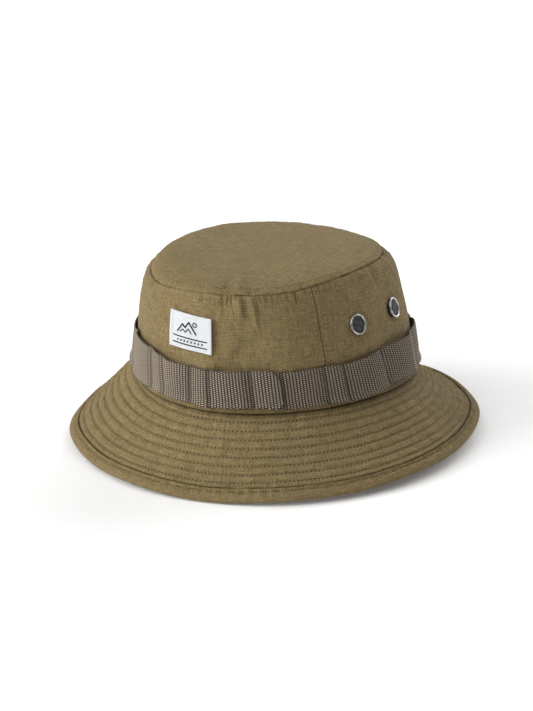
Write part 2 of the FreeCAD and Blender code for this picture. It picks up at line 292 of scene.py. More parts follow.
def oval(name, phi):
    width, depth, centre, height, nod, lean, saddle, twist = OVALS[name]
    rise = height + nod * np.cos(phi) + lean * np.sin(phi)
    rise = rise + saddle * np.cos(2 * phi) + twist * np.sin(2 * phi)
    reach = RIM_REACH(phi) if name == "seam" else 0 * phi
    return stack((width + reach) * np.sin(phi), centre - (depth + reach) * np.cos(phi), rise)


def outward(phi):
    return stack(np.sin(phi), -np.cos(phi), 0 * phi)


def arch(level):
    return 4 * level * (1 - level)


def wall(phi, level):
    level = np.asarray(level)[..., None]
    low, high = oval("base", phi), oval("seam", phi)
    bulge = WALL_BULGE - FLAT_DEPTH * about(phi, FLAT_ANGLE, FLAT_SPREAD)[..., None]
    above = np.clip(level, 0, None)
    roll = ROLL_GAIN * WALL_ROLL(phi)[..., None] * above ** ROLL_OUT * (1 - above ** ROLL_BACK)
    wave = stack(0, 0, SEAM_WAVE(phi)) * above ** WALL_WAVE
    return low + (high - low) * level + outward(phi) * (bulge * arch(level) + roll) + wave


def brim(phi, level):
    level = np.asarray(level)[..., None]
    inner, outer = oval("base", phi), oval("edge", phi)
    return inner + (outer - inner) * level - np.array([0, 0, BRIM_SAG]) * arch(level)


def top(phi, level):
    level = np.asarray(level)
    centre, height = OVALS["seam"][2], OVALS["seam"][3]
    rim = oval("seam", phi)
    shoulder = 1 - level ** SHOULDER_END
    dome = TOP_RISE * (1 - level ** 2) + SHOULDER_MEAN * shoulder
    dome = dome + (SHOULDER_DROP(phi) - SHOULDER_MEAN) * level ** SHOULDER_START * shoulder
    swing = (rim[..., 2] - height) * level ** TOP_SWING + SEAM_WAVE(phi) * level ** TOP_WAVE
    return stack(rim[..., 0] * level, centre + (rim[..., 1] - centre) * level, height + dome + swing)


def normals(surface, phi, level):
    """Unit normals that point up or away from the head."""
    step = 1e-4
    across = surface(phi + step, level) - surface(phi - step, level)
    along = surface(phi, level + step) - surface(phi, level - step)
    direction = np.cross(across, along)
    facing = outward(phi) if surface is wall else outward(phi) * 0.3 + np.array([0, 0, 1.0])
    direction *= np.sign(np.sum(direction * facing, axis=-1, keepdims=True))
    return unit(direction)


def skin(surface, phi, level, offset):
    """Points at a distance off a surface, in millimetres."""
    phi, level, offset = np.broadcast_arrays(phi, level, offset)
    return surface(phi, level) + normals(surface, phi, level) * offset[..., None]


# ---------------------------------------------------------------- meshes

def new_mesh(name, points, faces, material, uv=None):
    """A smooth mesh from points in millimetres; uv holds one pair in metres for each face corner."""
    mesh = bpy.data.meshes.new(name)
    points = np.asarray(points, float).reshape(-1, 3) * MM
    loops = np.concatenate([f.ravel() for f in faces])
    sizes = np.concatenate([np.full(len(f), f.shape[1]) for f in faces])
    mesh.vertices.add(len(points))
    mesh.vertices.foreach_set("co", points.ravel())
    mesh.loops.add(len(loops))
    mesh.loops.foreach_set("vertex_index", loops)
    mesh.polygons.add(len(sizes))
    mesh.polygons.foreach_set("loop_start", np.concatenate([[0], np.cumsum(sizes)[:-1]]))
    mesh.polygons.foreach_set("loop_total", sizes)
    mesh.polygons.foreach_set("use_smooth", np.ones(len(sizes), bool))
    if uv is not None:
        layer = mesh.uv_layers.new(name="Cloth")
        pairs = np.concatenate([np.asarray(u, float).reshape(-1, 2) for u in uv])
        layer.data.foreach_set("uv", pairs.ravel())
    mesh.update(calc_edges=True)
    mesh.materials.append(material)
    return add_object(name, mesh)


def grid_faces(rows, columns, close_rows, close_columns):
    """Quads over a grid of rows by columns, closed round either way, and each quad's row and column."""
    r = np.arange(rows if close_rows else rows - 1)
    c = np.arange(columns if close_columns else columns - 1)
    r, c = [a.ravel() for a in grid(r, c)]
    r2, c2 = (r + 1) % rows, (c + 1) % columns
    return np.stack([r * columns + c, r2 * columns + c, r2 * columns + c2, r * columns + c2], -1), r, c


def swept(name, points, along, around, material, closed=True):
    """A solid from a grid of points: rows follow the hat round, columns go round the section.

    along and around give each row's and column's distance in metres, for the cloth's pattern.
    """
    rows, columns = points.shape[:2]
    faces, r, c = grid_faces(rows, columns, closed, True)
    along = np.append(along, along[-1] + (along[1] - along[0]))
    around = np.append(around, around[-1] + abs(around[1] - around[0]))
    corners = ((r, c), (r + 1, c), (r + 1, c + 1), (r, c + 1))
    uv = [np.stack([np.stack([along[i], around[j]], -1) for i, j in corners], 1)]
    quads = [faces]
    if not closed:
        ring = np.arange(columns)
        for row, order in ((0, ring), (rows - 1, ring[::-1])):
            quads.append((order + row * columns)[None])
            uv.append(np.stack([np.full(columns, along[row]), around[order]], -1))
    item = new_mesh(name, points, quads, material, uv)
    fix_normals(item)
    return item


def sheet_solid(name, front, rear, along, around, material, closed=False):
    """A solid between two grids of points, one for each face of a cloth."""
    points = np.concatenate([front, rear[:, ::-1]], axis=1)
    return swept(name, points, along, np.concatenate([around, around[::-1]]), material, closed)


def tube_points(path, side, above, sides):
    """Rings of points round a path: side and above reach from its middle to its surface."""
    return np.stack([path + side * math.cos(a) + above * math.sin(a) for a in full_turn(sides)], axis=1)


def placed(points, centre, axis):
    """Points drawn round Z, turned to an axis and moved to a centre in metres."""
    turn = np.array(axis.to_track_quat("Z", "Y").to_matrix())
    return points @ turn.T + np.array(centre) / MM


def fix_normals(item):
    """Turns a closed mesh so that its faces point out."""
    mesh = item.data
    co = np.zeros(len(mesh.vertices) * 3)
    mesh.vertices.foreach_get("co", co)
    mesh.calc_loop_triangles()
    triangles = np.zeros(len(mesh.loop_triangles) * 3, int)
    mesh.loop_triangles.foreach_get("vertices", triangles)
    a, b, c = co.reshape(-1, 3)[triangles.reshape(-1, 3)].transpose(1, 0, 2)
    if np.einsum("ij,ij->i", a, np.cross(b, c)).sum() < 0:
        mesh.flip_normals()


def mark_points(item, name, values):
    """Stores one number for each point, for a material to read."""
    attribute = item.data.attributes.new(name, "FLOAT", "POINT")
    attribute.data.foreach_set("value", values.ravel().astype(np.float32))


def slab(name, surface, phi, level, outer, inner, material, closed=True, every=1, crease_shade=None):
    """Cloth between two offsets of a surface, all given as arrays of angle by level.

    every thins out the columns of the hidden side, and the crease mask says where the outer face gets
    painted shade, in a seam or along a row of stitches.
    """
    keep = np.unique(np.append(np.arange(0, phi.shape[1], every), phi.shape[1] - 1))[::-1]
    front = skin(surface, phi, level, outer)
    rear = skin(surface, phi[:, keep], level[:, keep], inner[:, keep])
    points = np.concatenate([front, rear], axis=1)
    along = travel(front[:, phi.shape[1] // 2]) * MM
    scale = (WALL_HEIGHT if surface is wall else BRIM_WIDTH) * MM
    around = np.concatenate([level[0], level[0][keep]]) * scale
    item = swept(name, points, along, around, material, closed)
    if crease_shade is not None:
        mark_points(item, "crease_shade", np.concatenate([crease_shade, 0 * crease_shade[:, keep]], axis=1))
    return item


def dress(piece, slot, *nodes, body="hat"):
    """Puts a piece on its body and hides the CAD nodes it stands for; slot is not used."""
    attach(piece, body)
    if nodes:
        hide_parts(*nodes)


# ---------------------------------------------------------------- stitches

# Rings along a stitch: place along it, thickness and lift as shares of its length and width.
THREAD_RINGS = ((-0.5, 0.05, -0.6), (-0.42, 0.75, -0.2), (-0.2, 1.0, 0.15),
                (0.2, 1.0, 0.15), (0.42, 0.75, -0.2), (0.5, 0.05, -0.6))
HOLE_RINGS = ((-0.5, 0.1, 0), (-0.3, 0.85, 0), (0, 1.0, 0), (0.3, 0.85, 0), (0.5, 0.1, 0))
THREAD_SLANT = 0.10
HOLE_FLATNESS = 0.45
BAR_SIDES = 6


def small_bars(name, rings, centres, tangents, ups, length, radius, material, slant=0.0, flatten=0.8):
    """Many small rounded bars in one mesh: threads that dive into the cloth, or painted needle-hole shade."""
    across = unit(np.cross(ups, tangents))
    ups = np.cross(tangents, across)
    turned = tangents * math.cos(slant) + across * math.sin(slant)
    cross = np.cross(turned, ups)
    points = []
    for along, thick, lift in rings:
        centre = centres + turned * (along * length) + ups * (lift * radius * 2)
        for angle in full_turn(BAR_SIDES):
            spoke = cross * math.cos(angle) + ups * (math.sin(angle) * flatten)
            points.append(centre + spoke * (radius * thick))
    faces = grid_faces(len(rings), BAR_SIDES, False, True)[0]
    shift = np.arange(len(centres)) * len(rings) * BAR_SIDES
    quads = (faces[None] + shift[:, None, None]).reshape(-1, 4)
    return new_mesh(name, np.stack(points, axis=1), [quads], material)


def places_along(surface, phis, levels, offset_of, pitch, closed, shift=0.5):
    """Evenly spaced places on a line of a surface: their centres, tangents and normals."""
    phis = np.asarray(phis, float)
    levels = np.broadcast_to(np.asarray(levels, float), phis.shape)
    if closed:
        phis = np.append(phis, phis[0] + TURN)
        levels = np.append(levels, levels[0])
    line = skin(surface, phis, levels, offset_of(phis, levels))
    gone = travel(line)
    count = max(2, int(round(gone[-1] / pitch)))
    wanted = (np.arange(count) + shift) * gone[-1] / count
    phi, level = np.interp(wanted, gone, phis), np.interp(wanted, gone, levels)
    tangent = np.stack([np.interp(wanted, gone, np.gradient(line[:, k])) for k in range(3)], -1)
    return skin(surface, phi, level, offset_of(phi, level)), unit(tangent), normals(surface, phi, level)


def stitches(name, surface, phis, levels, offset_of, pitch, thread, closed=False, side=1, node=None,
             lift=0.08, radius=0.25, share=0.62, hole=(0.5, 0.36)):
    """A lockstitch row: raised threads, and between one and the next a dark bar, painted shade in the needle
    hole.

    side is 1 on the outer face of the cloth and -1 on the inner face. share is a thread's length
    as a part of the pitch, and hole is the same for the painted shade of a needle hole, and its radius.
    """
    row_line = (surface, phis, levels, offset_of, pitch, closed)
    centres, tangents, ups = places_along(*row_line)
    ups = ups * side
    row = small_bars(name, THREAD_RINGS, centres + ups * lift, tangents, ups, pitch * share, radius,
                     thread, THREAD_SLANT)
    dress(row, "thread", *([node] if node else []))
    if hole:
        centres, tangents, ups = places_along(*row_line, shift=1.0)
        hole_shades = small_bars(name + "_hole_shades", HOLE_RINGS, centres, tangents, ups * side, pitch * hole[0],
                           hole[1], needle_hole_shade, flatten=HOLE_FLATNESS)
        dress(hole_shades, "thread")


def closed_row(name, surface, levels, offset_of, pitch, thread, **options):
    """A row of stitches right round the hat."""
    stitches(name, surface, RING, levels, offset_of, pitch, thread, closed=True, **options)


# ---------------------------------------------------------------- materials

class Nodes:
    """Builds one material's nodes. Those that stand for a value return its output socket."""

    def __init__(self, name):
        self.material = bpy.data.materials.new(name)
        self.material.use_nodes = True
        self.tree = self.material.node_tree
        self.shader = self.tree.nodes["Principled BSDF"]

    def add(self, kind, settings=(), inputs=()):
        node = self.tree.nodes.new(kind)
        for key, value in dict(settings).items():
            setattr(node, key, value)
        for key, value in dict(inputs).items():
            self.put(node.inputs[key], value)
        return node

    def put(self, socket, value):
        if isinstance(value, bpy.types.NodeSocket):
            self.tree.links.new(value, socket)
        else:
            socket.default_value = value

    def scaled(self, place, *scale):
        return self.add("ShaderNodeMapping", {}, {"Vector": place, "Scale": scale}).outputs["Vector"]

    def cloth(self, scale_u, scale_v):
        """The cloth's own coordinates, in threads or tiles."""
        place = self.add("ShaderNodeUVMap", {"uv_map": "Cloth"}).outputs["UV"]
        return self.scaled(place, scale_u, scale_v, 1)

    def solid(self):
        return self.add("ShaderNodeTexCoord").outputs["Object"]

    def noise(self, place, scale, detail=2.0, rough=0.5):
        inputs = {"Vector": place, "Scale": scale, "Detail": detail, "Roughness": rough}
        return self.add("ShaderNodeTexNoise", {}, inputs).outputs["Fac"]

    def attribute(self, name):
        return self.add("ShaderNodeAttribute", {"attribute_name": name}).outputs["Fac"]

    def math(self, kind, *values):
        node = self.add("ShaderNodeMath", {"operation": kind})
        for socket, value in zip(node.inputs, values):
            self.put(socket, value)
        return node.outputs[0]

    def wave(self, value):
        return self.math("SINE", self.math("MULTIPLY", value, TURN))

    def total(self, *terms):
        """The sum of (value, weight) pairs."""
        parts = [self.math("MULTIPLY", value, weight) for value, weight in terms]
        result = parts[0]
        for part in parts[1:]:
            result = self.math("ADD", result, part)
        return result

    def split(self, vector):
        node = self.add("ShaderNodeSeparateXYZ", {}, {"Vector": vector})
        return node.outputs["X"], node.outputs["Y"]

    def remap(self, value, low, high, to_low=0.0, to_high=1.0):
        inputs = {"Value": value, "From Min": low, "From Max": high, "To Min": to_low, "To Max": to_high}
        return self.add("ShaderNodeMapRange", {}, inputs).outputs["Result"]

    def mix(self, share, a, b):
        node = self.add("ShaderNodeMix", {"data_type": "RGBA"})
        for socket, value in zip((node.inputs[0], node.inputs[6], node.inputs[7]), (share, a, b)):
            self.put(socket, value)
        return node.outputs[2]

    def mottle(self, value, first, second, low=0.3, high=0.7):
        """Runs from the first colour to the second as value goes from low to high."""
        return self.mix(self.remap(value, low, high), first, second)

    def layers(self, tone, *rows):
        """Lays colours over a tone. Each row: value, its low and high, the share at each, colour."""
        for *span, colour in rows:
            tone = self.mix(self.remap(*span), tone, colour)
        return tone

    def bump(self, height, distance, strength=1.0):
        inputs = {"Height": height, "Distance": distance, "Strength": strength}
        return self.add("ShaderNodeBump", {}, inputs).outputs["Normal"]

    def finish(self, colour, roughness, normal=None, **constants):
        self.put(self.shader.inputs["Base Color"], colour)
        self.put(self.shader.inputs["Roughness"], roughness)
        if normal is not None:
            self.put(self.shader.inputs["Normal"], normal)
        for key, value in constants.items():
            self.shader.inputs[key.replace("_", " ")].default_value = value
        return self.material


def rgba(red, green, blue):
    return (red, green, blue, 1.0)


def lighter(colour, share):
    return tuple(min(1.0, c * share) for c in colour[:3]) + (1.0,)


CANVAS = rgba(0.206, 0.153, 0.071)
WEBBING = rgba(0.226, 0.188, 0.142)
LINING = rgba(0.100, 0.076, 0.038)


RIPSTOP_GRID = 1.7


def woven_cloth(name, colour, thread=0.42, grid_show=1.0):
    """Ripstop cotton: fine threads, a faint grid of heavier threads, slubs and cloudy colour."""
    n = Nodes(name)
    threads, tiles = 1 / (thread * MM), 1 / (RIPSTOP_GRID * MM)
    weave = n.math("MULTIPLY", *[n.wave(way) for way in n.split(n.cloth(threads, threads))])
    lines = []
    for way, streak in zip(n.split(n.cloth(tiles, tiles)), ((600, 30), (30, 600))):
        saw = n.math("ABSOLUTE", n.math("SUBTRACT", n.math("FRACT", way), 0.5))
        lively = n.remap(n.noise(n.cloth(*streak), 1.0), 0.38, 0.62)
        lines.append(n.math("MULTIPLY", n.remap(saw, 0.32, 0.46), lively))
    place = n.solid()
    shown = n.remap(n.noise(place, 24.0), 0.40, 0.62, 0.2, grid_show)
    ripstop = n.math("MULTIPLY", n.math("MAXIMUM", *lines), shown)
    slub = n.math("ADD", *[n.noise(n.cloth(*streak), 1.0, 3.0, 0.6) for streak in ((1300, 110), (110, 1300))])
    clouds = n.noise(place, 14.0, 4.0, 0.6)
    grain = n.noise(place, 900.0, 3.0, 0.7)
    tone = n.mottle(clouds, lighter(colour, 0.94), lighter(colour, 1.07))
    tone = n.layers(tone, (slub, 0.78, 1.0, 0.85, 0.0, lighter(colour, 0.56)),
                    (slub, 1.0, 1.22, 0.0, 0.85, lighter(colour, 1.50)),
                    (grain, 0.38, 0.52, 0.45, 0.0, lighter(colour, 0.55)),
                    (grain, 0.50, 0.64, 0.0, 0.45, lighter(colour, 1.5)),
                    (ripstop, 0, 1, 0.0, 0.62, lighter(colour, 1.9)),
                    (weave, -1, 1, 0.0, 0.2, lighter(colour, 0.6)))
    # Painted shade: the crease marks darken the cloth in its seams and along its stitch rows.
    tone = n.mix(n.attribute("crease_shade"), tone, lighter(colour, 0.10))
    height = n.total((weave, 0.4), (slub, 2.0), (grain, 1.5), (ripstop, 1.6))
    return n.finish(tone, 0.9, n.bump(height, 0.12 * MM, 0.9), Sheen_Weight=0.04, Sheen_Roughness=0.5,
                    Specular_IOR_Level=0.12)


def ribbed_webbing(name, colour):
    """Coarse webbing: its ribs are in the mesh; this adds fibre, painted shade between them and painted
    highlights.
    """
    n = Nodes(name)
    fibre = n.noise(n.cloth(3800, 900), 1.0)
    clouds = n.noise(n.solid(), 30.0, 3.0)
    depth = n.attribute("relief")
    tone = n.mottle(clouds, lighter(colour, 0.88), lighter(colour, 1.12))
    # Painted light from the relief: bright highlights on the floats' tops, dark shade in the gaps between
    # ribs.
    tone = n.layers(tone, (fibre, 0.3, 0.7, 0.0, 0.5, lighter(colour, 0.70)),
                    (depth, 0.54, 0.95, 0.0, 1.0, lighter(colour, 3.1)),
                    (depth, 0.08, 0.50, 1.0, 0.0, rgba(0.034, 0.026, 0.018)))
    return n.finish(tone, 0.75, n.bump(fibre, 0.12 * MM, 0.8), Sheen_Weight=0.05, Specular_IOR_Level=0.2)


def thread_material(name, colour):
    n = Nodes(name)
    twist = n.noise(n.solid(), 1600.0)
    tone = n.mottle(twist, lighter(colour, 0.75), lighter(colour, 1.2), 0.35, 0.65)
    return n.finish(tone, 0.6, n.bump(twist, 0.05 * MM), Specular_IOR_Level=0.25)


def label_cloth(name):
    """White satin label: fine horizontal ribs."""
    n = Nodes(name)
    across, up_it = n.split(n.cloth(1 / (0.28 * MM), 1 / (0.36 * MM)))
    weave = n.total((n.wave(up_it), 1.0), (n.wave(across), 0.5))
    speckle = n.noise(n.solid(), 700.0, 3.0)
    tone = n.mottle(speckle, rgba(0.61, 0.625, 0.645), rgba(0.70, 0.71, 0.725))
    tone = n.layers(tone, (weave, -1.5, 1.5, 0.0, 0.25, rgba(0.45, 0.47, 0.50)))
    return n.finish(tone, 0.55, n.bump(weave, 0.05 * MM, 0.7), Specular_IOR_Level=0.25)


def antique_metal(name, bright, dark, rough):
    """Antique silver: bright where it is rubbed, darker in blotches and scratches."""
    n = Nodes(name)
    patina = n.noise(n.solid(), 420.0, 5.0, 0.65)
    scratches = n.noise(n.scaled(n.solid(), 300, 2200, 900), 1.0, 3.0)
    tone = n.mottle(patina, bright, dark, 0.35, 0.68)
    tone = n.layers(tone, (scratches, 0.55, 0.75, 0.0, 0.35, lighter(dark, 0.6)))
    normal = n.bump(n.math("ADD", patina, scratches), 0.05 * MM, 0.6)
    return n.finish(tone, n.remap(patina, 0.3, 0.7, rough - 0.08, rough + 0.16), normal, Metallic=1.0)


def felt(name, colour):
    n = Nodes(name)
    fuzz = n.noise(n.solid(), 1500.0, 4.0, 0.7)
    tone = n.mottle(fuzz, lighter(colour, 0.8), lighter(colour, 1.15))
    return n.finish(tone, 0.95, n.bump(fuzz, 0.2 * MM), Specular_IOR_Level=0.1)


canvas = woven_cloth("canvas", CANVAS)
canvas_under = woven_cloth("canvas_under", lighter(CANVAS, 0.96))
binding_cloth = woven_cloth("binding_cloth", CANVAS, grid_show=0.3)
lining_cloth = woven_cloth("lining_cloth", LINING, thread=0.3, grid_show=0.0)
tape_cloth = woven_cloth("tape_cloth", lighter(LINING, 1.4), thread=0.6, grid_show=0.0)
webbing_cloth = ribbed_webbing("webbing_cloth", WEBBING)
thread_olive = thread_material("thread_olive", lighter(CANVAS, 1.45))
thread_pale = thread_material("thread_pale", lighter(CANVAS, 1.55))
thread_taupe = thread_material("thread_taupe", rgba(0.16, 0.13, 0.10))
thread_black = thread_material("thread_black", rgba(0.012, 0.012, 0.014))
# Painted shade: near-black bars stand for the shadow in each needle hole.
needle_hole_shade = thread_material("needle_hole_shade", rgba(0.024, 0.017, 0.009))
label_white = label_cloth("label_white")
silver = antique_metal("silver", rgba(0.60, 0.595, 0.58), rgba(0.17, 0.168, 0.165), 0.30)
wire = antique_metal("wire", rgba(0.20, 0.20, 0.205), rgba(0.07, 0.07, 0.072), 0.42)
interlining_felt = felt("interlining_felt", rgba(0.50, 0.47, 0.40))


# ---------------------------------------------------------------- brim

ROW_FIRST, ROW_STEP, ROW_COUNT = 0.083, 0.0985, 8
ROW_WANDER = 0.0016
# How dark the painted shade along each quilting row is.
ROW_DARK = 0.30
BRIM_STITCH_PITCH = 2.67
BINDING_INNER = 9.0
BINDING_STITCH = 6.9
BINDING_CLOTH = 0.7
BINDING_ROLL = 2.55
BINDING_STITCH_PITCH = 2.04
BINDING_GIRTH = 0.880
QUILT_PUFF, UNDER_PUFF = 1.1, 0.6
PILLOW_ROUND = 0.45
VALLEY = 0.6
BRIM_DRAPE = 0.55
# The levels where the brim's cloth starts, under the wall, and ends, inside the binding.
LAYER_START, LAYER_END = -0.035, 0.945
# How deep in the brim the upper cloth ends, the interlining starts and ends, and the lower starts.
UPPER_BACK, CORE_TOP, CORE_BOTTOM, LOWER_TOP = 1.3, 1.4, 2.1, 2.2
# The quilting lies flatter, and shows less, where the brim is stretched at the left side.
CALM_ANGLE, CALM_SPREAD = 124, 22
quilt_noise = cloud(11, 4, 60, 2.5)
brim_waves = cloud(12, 1, 9, 0.8)
brim_creases = cloud(13, 60, 150, 7.0, 30)
row_wander = [ripple(40 + row, 2, 14) for row in range(ROW_COUNT)]
# The inner rows run in towards the crown at the front right: (degrees, level).
row_slip = around_hat((
    (-90, -0.03), (-60, -0.05), (-40, -0.052), (-20, -0.028), (0, -0.004), (30, 0), (90, 0), (180, 0.01),
    (240, 0)), 8.0)


def row_level(row, phi):
    """Quilting rows wander by a fraction of a millimetre."""
    slip = row_slip(phi) * (1 - row / ROW_COUNT)
    return ROW_FIRST + ROW_STEP * row + slip + ROW_WANDER * row_wander[row](phi)


def quilt(phi, level):
    """The height of the cloth over the brim's plain surface: puffed between the stitch rows."""
    marks = [0 * phi + LAYER_START] + [row_level(row, phi) for row in range(ROW_COUNT)]
    marks.append(0 * phi + 1 - BINDING_INNER / BRIM_WIDTH)
    height = 0 * level
    for low, high in zip(marks[:-1], marks[1:]):
        share = np.clip((level - low) / (high - low), 0, 1)
        near = np.minimum(share, 1 - share) * (high - low) * BRIM_WIDTH
        pillow = PILLOW_ROUND * arch(share) + (1 - PILLOW_ROUND) * (1 - bell(near, VALLEY))
        height = np.where((level >= low) & (level <= high), pillow, height)
    lively = 1 + 0.20 * quilt_noise(phi, level) - 0.45 * about(phi, CALM_ANGLE, CALM_SPREAD)
    return QUILT_PUFF * height * lively - 0.5 + 0.07 * brim_creases(phi, level) * ease(height, 0.1, 0.6)


def brim_crease_shade(phi, level):
    """Painted shade: dark lines along the quilting rows, at the binding's inner edge and where the brim meets
    the crown.
    """
    calm = about(phi, CALM_ANGLE, CALM_SPREAD)
    dark = 0.8 * bell(level * BRIM_WIDTH, 0.9)
    dark = np.maximum(dark, 0.85 * bell((level - 1) * BRIM_WIDTH + BINDING_INNER + 0.5, 0.5 + 0.3 * calm))
    for row in range(ROW_COUNT):
        line = bell((level - row_level(row, phi)) * BRIM_WIDTH, 0.40)
        dark = np.maximum(dark, ROW_DARK * (1 - 0.5 * calm) * line)
    return dark


def brim_drape(phi, level):
    return BRIM_DRAPE * level * brim_waves(phi, level)


def brim_top_offset(phi, level):
    return quilt(phi, level) + brim_drape(phi, level)


def brim_under_offset(phi, level):
    return -BRIM_DEPTH - UNDER_PUFF * quilt(phi, level) + brim_drape(phi, level)


def brim_area():
    """The brim ring's area in square metres, from its own surface."""
    points = brim(*grid(np.linspace(0, TURN, 361), np.linspace(0, LAYER_END, 31))) * MM
    across = np.diff(points, axis=0)[:, :-1]
    along = np.diff(points, axis=1)[:-1]
    return float(np.linalg.norm(np.cross(across, along), axis=-1).sum())


def brim_grid(rows):
    """Angles and levels over the brim, with the levels following the quilting rows."""
    shifts = np.array([-1.5, -0.95, -0.6, -0.3, 0, 0.3, 0.6, 0.95, 1.5]) / BRIM_WIDTH
    angles = full_turn(rows)
    columns = [0 * angles + mark for mark in (LAYER_START, -0.015, 0, 0.008, 0.016)]
    for row in range(ROW_COUNT):
        line = row_level(row, angles)
        columns += [np.maximum(line + shift, 0.02 + 0.001 * index) for index, shift in enumerate(shifts)]
        following = row_level(row + 1, angles) if row < ROW_COUNT - 1 else 0 * angles + 0.875
        columns += [line + (following - line) * share for share in (0.37, 0.5, 0.63)]
    columns += [0 * angles + mark for mark in (0.832, 0.838, 0.845, 0.852, 0.87, 0.91, LAYER_END)]
    level = np.sort(np.stack(columns, axis=1), axis=1)
    return np.broadcast_to(angles[:, None], level.shape), level


def make_brim():
    phi, level = brim_grid(1440)
    drape = brim_drape(phi, level)
    crease_shade = brim_crease_shade(phi, level)
    upper = slab("brim_upper_cloth", brim, phi, level, brim_top_offset(phi, level), drape - UPPER_BACK,
                 canvas, every=9, crease_shade=crease_shade)
    # The lower cloth's outer face is its underside, so its section runs the other way.
    flipped = [each[:, ::-1] for each in (phi, level, brim_under_offset(phi, level), drape - LOWER_TOP)]
    lower = slab("brim_lower_cloth", brim, *flipped, canvas_under, every=9, crease_shade=crease_shade[:, ::-1])
    phi, level = grid(full_turn(240), np.linspace(0.02, LAYER_END, 25))
    drape = brim_drape(phi, level)
    core = slab("brim_interlining_cloth", brim, phi, level, drape - CORE_TOP, drape - CORE_BOTTOM,
                interlining_felt)
    area = brim_area()
    pieces = ((upper, "canvas", "brim_upper"), (lower, "canvas", "brim_lower"),
              (core, "interlining", "brim_interlining"))
    for piece, slot, node in pieces:
        dress(piece, slot, node)


def brim_rows():
    """The quilting stitches, on top and underneath."""
    for row in range(ROW_COUNT):
        name, levels = "brim_stitch_row_%d" % (row + 1), row_level(row, RING)
        closed_row(name + "_top", brim, levels, brim_top_offset, BRIM_STITCH_PITCH, thread_olive, node=name,
                   lift=0.22, radius=0.30, hole=(0.50, 0.42))
        closed_row(name + "_under", brim, levels, brim_under_offset, BRIM_STITCH_PITCH, thread_olive, side=-1,
                   hole=None)


# ---------------------------------------------------------------- brim binding

binding_pucker = ripple(51, 90, 170, 20)
binding_soft = ripple(52, 4, 18)


def binding_section(phi):
    """The binding round its section as (distance in from the edge, offset), by angle.

    The outer face runs from the top lip round the rolled edge to the lip underneath, and the
    inner face comes back a cloth's thickness inside it.
    """
    roll = BINDING_ROLL + 0.10 * binding_soft(phi)
    lip = BINDING_INNER + 0.15 * binding_soft(phi + 1.3)
    pucker = 0.14 * binding_pucker(phi)
    middle = -BRIM_DEPTH / 2
    over, under = 0.35 + pucker * 0.6, -BRIM_DEPTH - 0.35 - pucker * 0.6
    cloth, stitch = BINDING_CLOTH, BINDING_STITCH
    outer = [(lip - 0.5, over - 0.60), (lip + 0.10, over - 0.45), (lip + 0.20, over + 0.0),
             (lip + 0.05, over + 0.60), (lip - 0.45, over + 0.95), (lip - 1.1, over + 0.55),
             (stitch + 0.35, over - 0.10 + pucker), (stitch - 0.05, over - 0.22 + pucker),
             (stitch - 0.80, over + 0.20), (5.2, over + 0.50), (4.2, over + 0.58), (3.3, over + 0.45)]
    inner = [(lip - 0.9, over - 0.35), (stitch, over - cloth - 0.1), (5.2, over + 0.45 - cloth),
             (3.4, over + 0.40 - cloth)]
    for angle in np.radians(np.linspace(66, -66, 11)):
        along, across = math.cos(angle), math.sin(angle)
        outer.append((roll - roll * along, middle + (roll - 0.1) * across))
        inner.append((roll - (roll - cloth) * along, middle + (roll - 0.1 - cloth) * across))
    outer += [(3.3, under - 0.45), (4.6, under - 0.50), (stitch - 0.9, under - 0.20), (stitch, under + 0.10),
              (lip - 0.7, under - 0.25), (lip, under - 0.1), (lip + 0.1, under + 0.3)]
    inner += [(3.4, under - 0.40 + cloth), (5.0, under - 0.4 + cloth), (stitch, under + cloth + 0.1),
              (lip - 0.6, under + cloth - 0.1)]
    return [(inset + 0 * phi, offset + 0 * phi) for inset, offset in outer + inner[::-1]]


def make_binding():
    phi = full_turn(1400)
    columns = []
    for inset, offset in binding_section(phi):
        level = 1 - inset / BRIM_WIDTH
        columns.append(skin(brim, phi, level, offset + brim_drape(phi, level)))
    points = np.stack(columns, axis=1)
    along = np.arange(len(phi)) * (BINDING_GIRTH / len(phi))
    piece = swept("brim_binding_cloth", points, along, travel(points[0]) * MM, binding_cloth)
    dress(piece, "binding", "brim_binding")
    for side, face, hole in ((1, "top", (0.52, 0.38)), (-1, "under", None)):
        place = -BRIM_DEPTH / 2 + side * (BRIM_DEPTH / 2 + 0.22)
        closed_row("binding_stitches_" + face, brim, 1 - BINDING_STITCH / BRIM_WIDTH,
                   lambda p, l: place + brim_drape(p, l), BINDING_STITCH_PITCH, thread_olive, side=side,
                   lift=0.2, radius=0.27, hole=hole)


# ---------------------------------------------------------------- crown

wall_clouds = cloud(21, 2, 11, 0.8)
wall_fine = cloud(22, 14, 46, 3.0)
wall_creases = cloud(26, 50, 130, 9.0, 30)
seam_pucker = ripple(23, 60, 130, 26)
seam_pucker_wide = ripple(24, 20, 45, 16)
side_pucker = ripple(25, 40, 90, 12)
WALL_ROW = 4.0
TOP_ROW = 4.7
SIDE_ROW = 4.0
VENT_HOLE = 6.1
VENT_RIM = 7.4
VENT_LIFT = Vector((0, 0, 0.07))
VENT_SINK = 0.15 * MM
# The wall flares a little where it is sewn to the brim.
FLARE = 2.0
# The wall sags in a fold at the front right, and the top seam is shallow near there and wide at
# the left: angle and spread in degrees.
SAG, SHALLOW, WIDE = (-26, 10), (-45, 22), (98, 26)
VENTS = {"left_front": (81.6, 0.635), "left_rear": (107.0, 0.65),
         "right_front": (-82.2, 0.635), "right_rear": (-107.8, 0.65)}

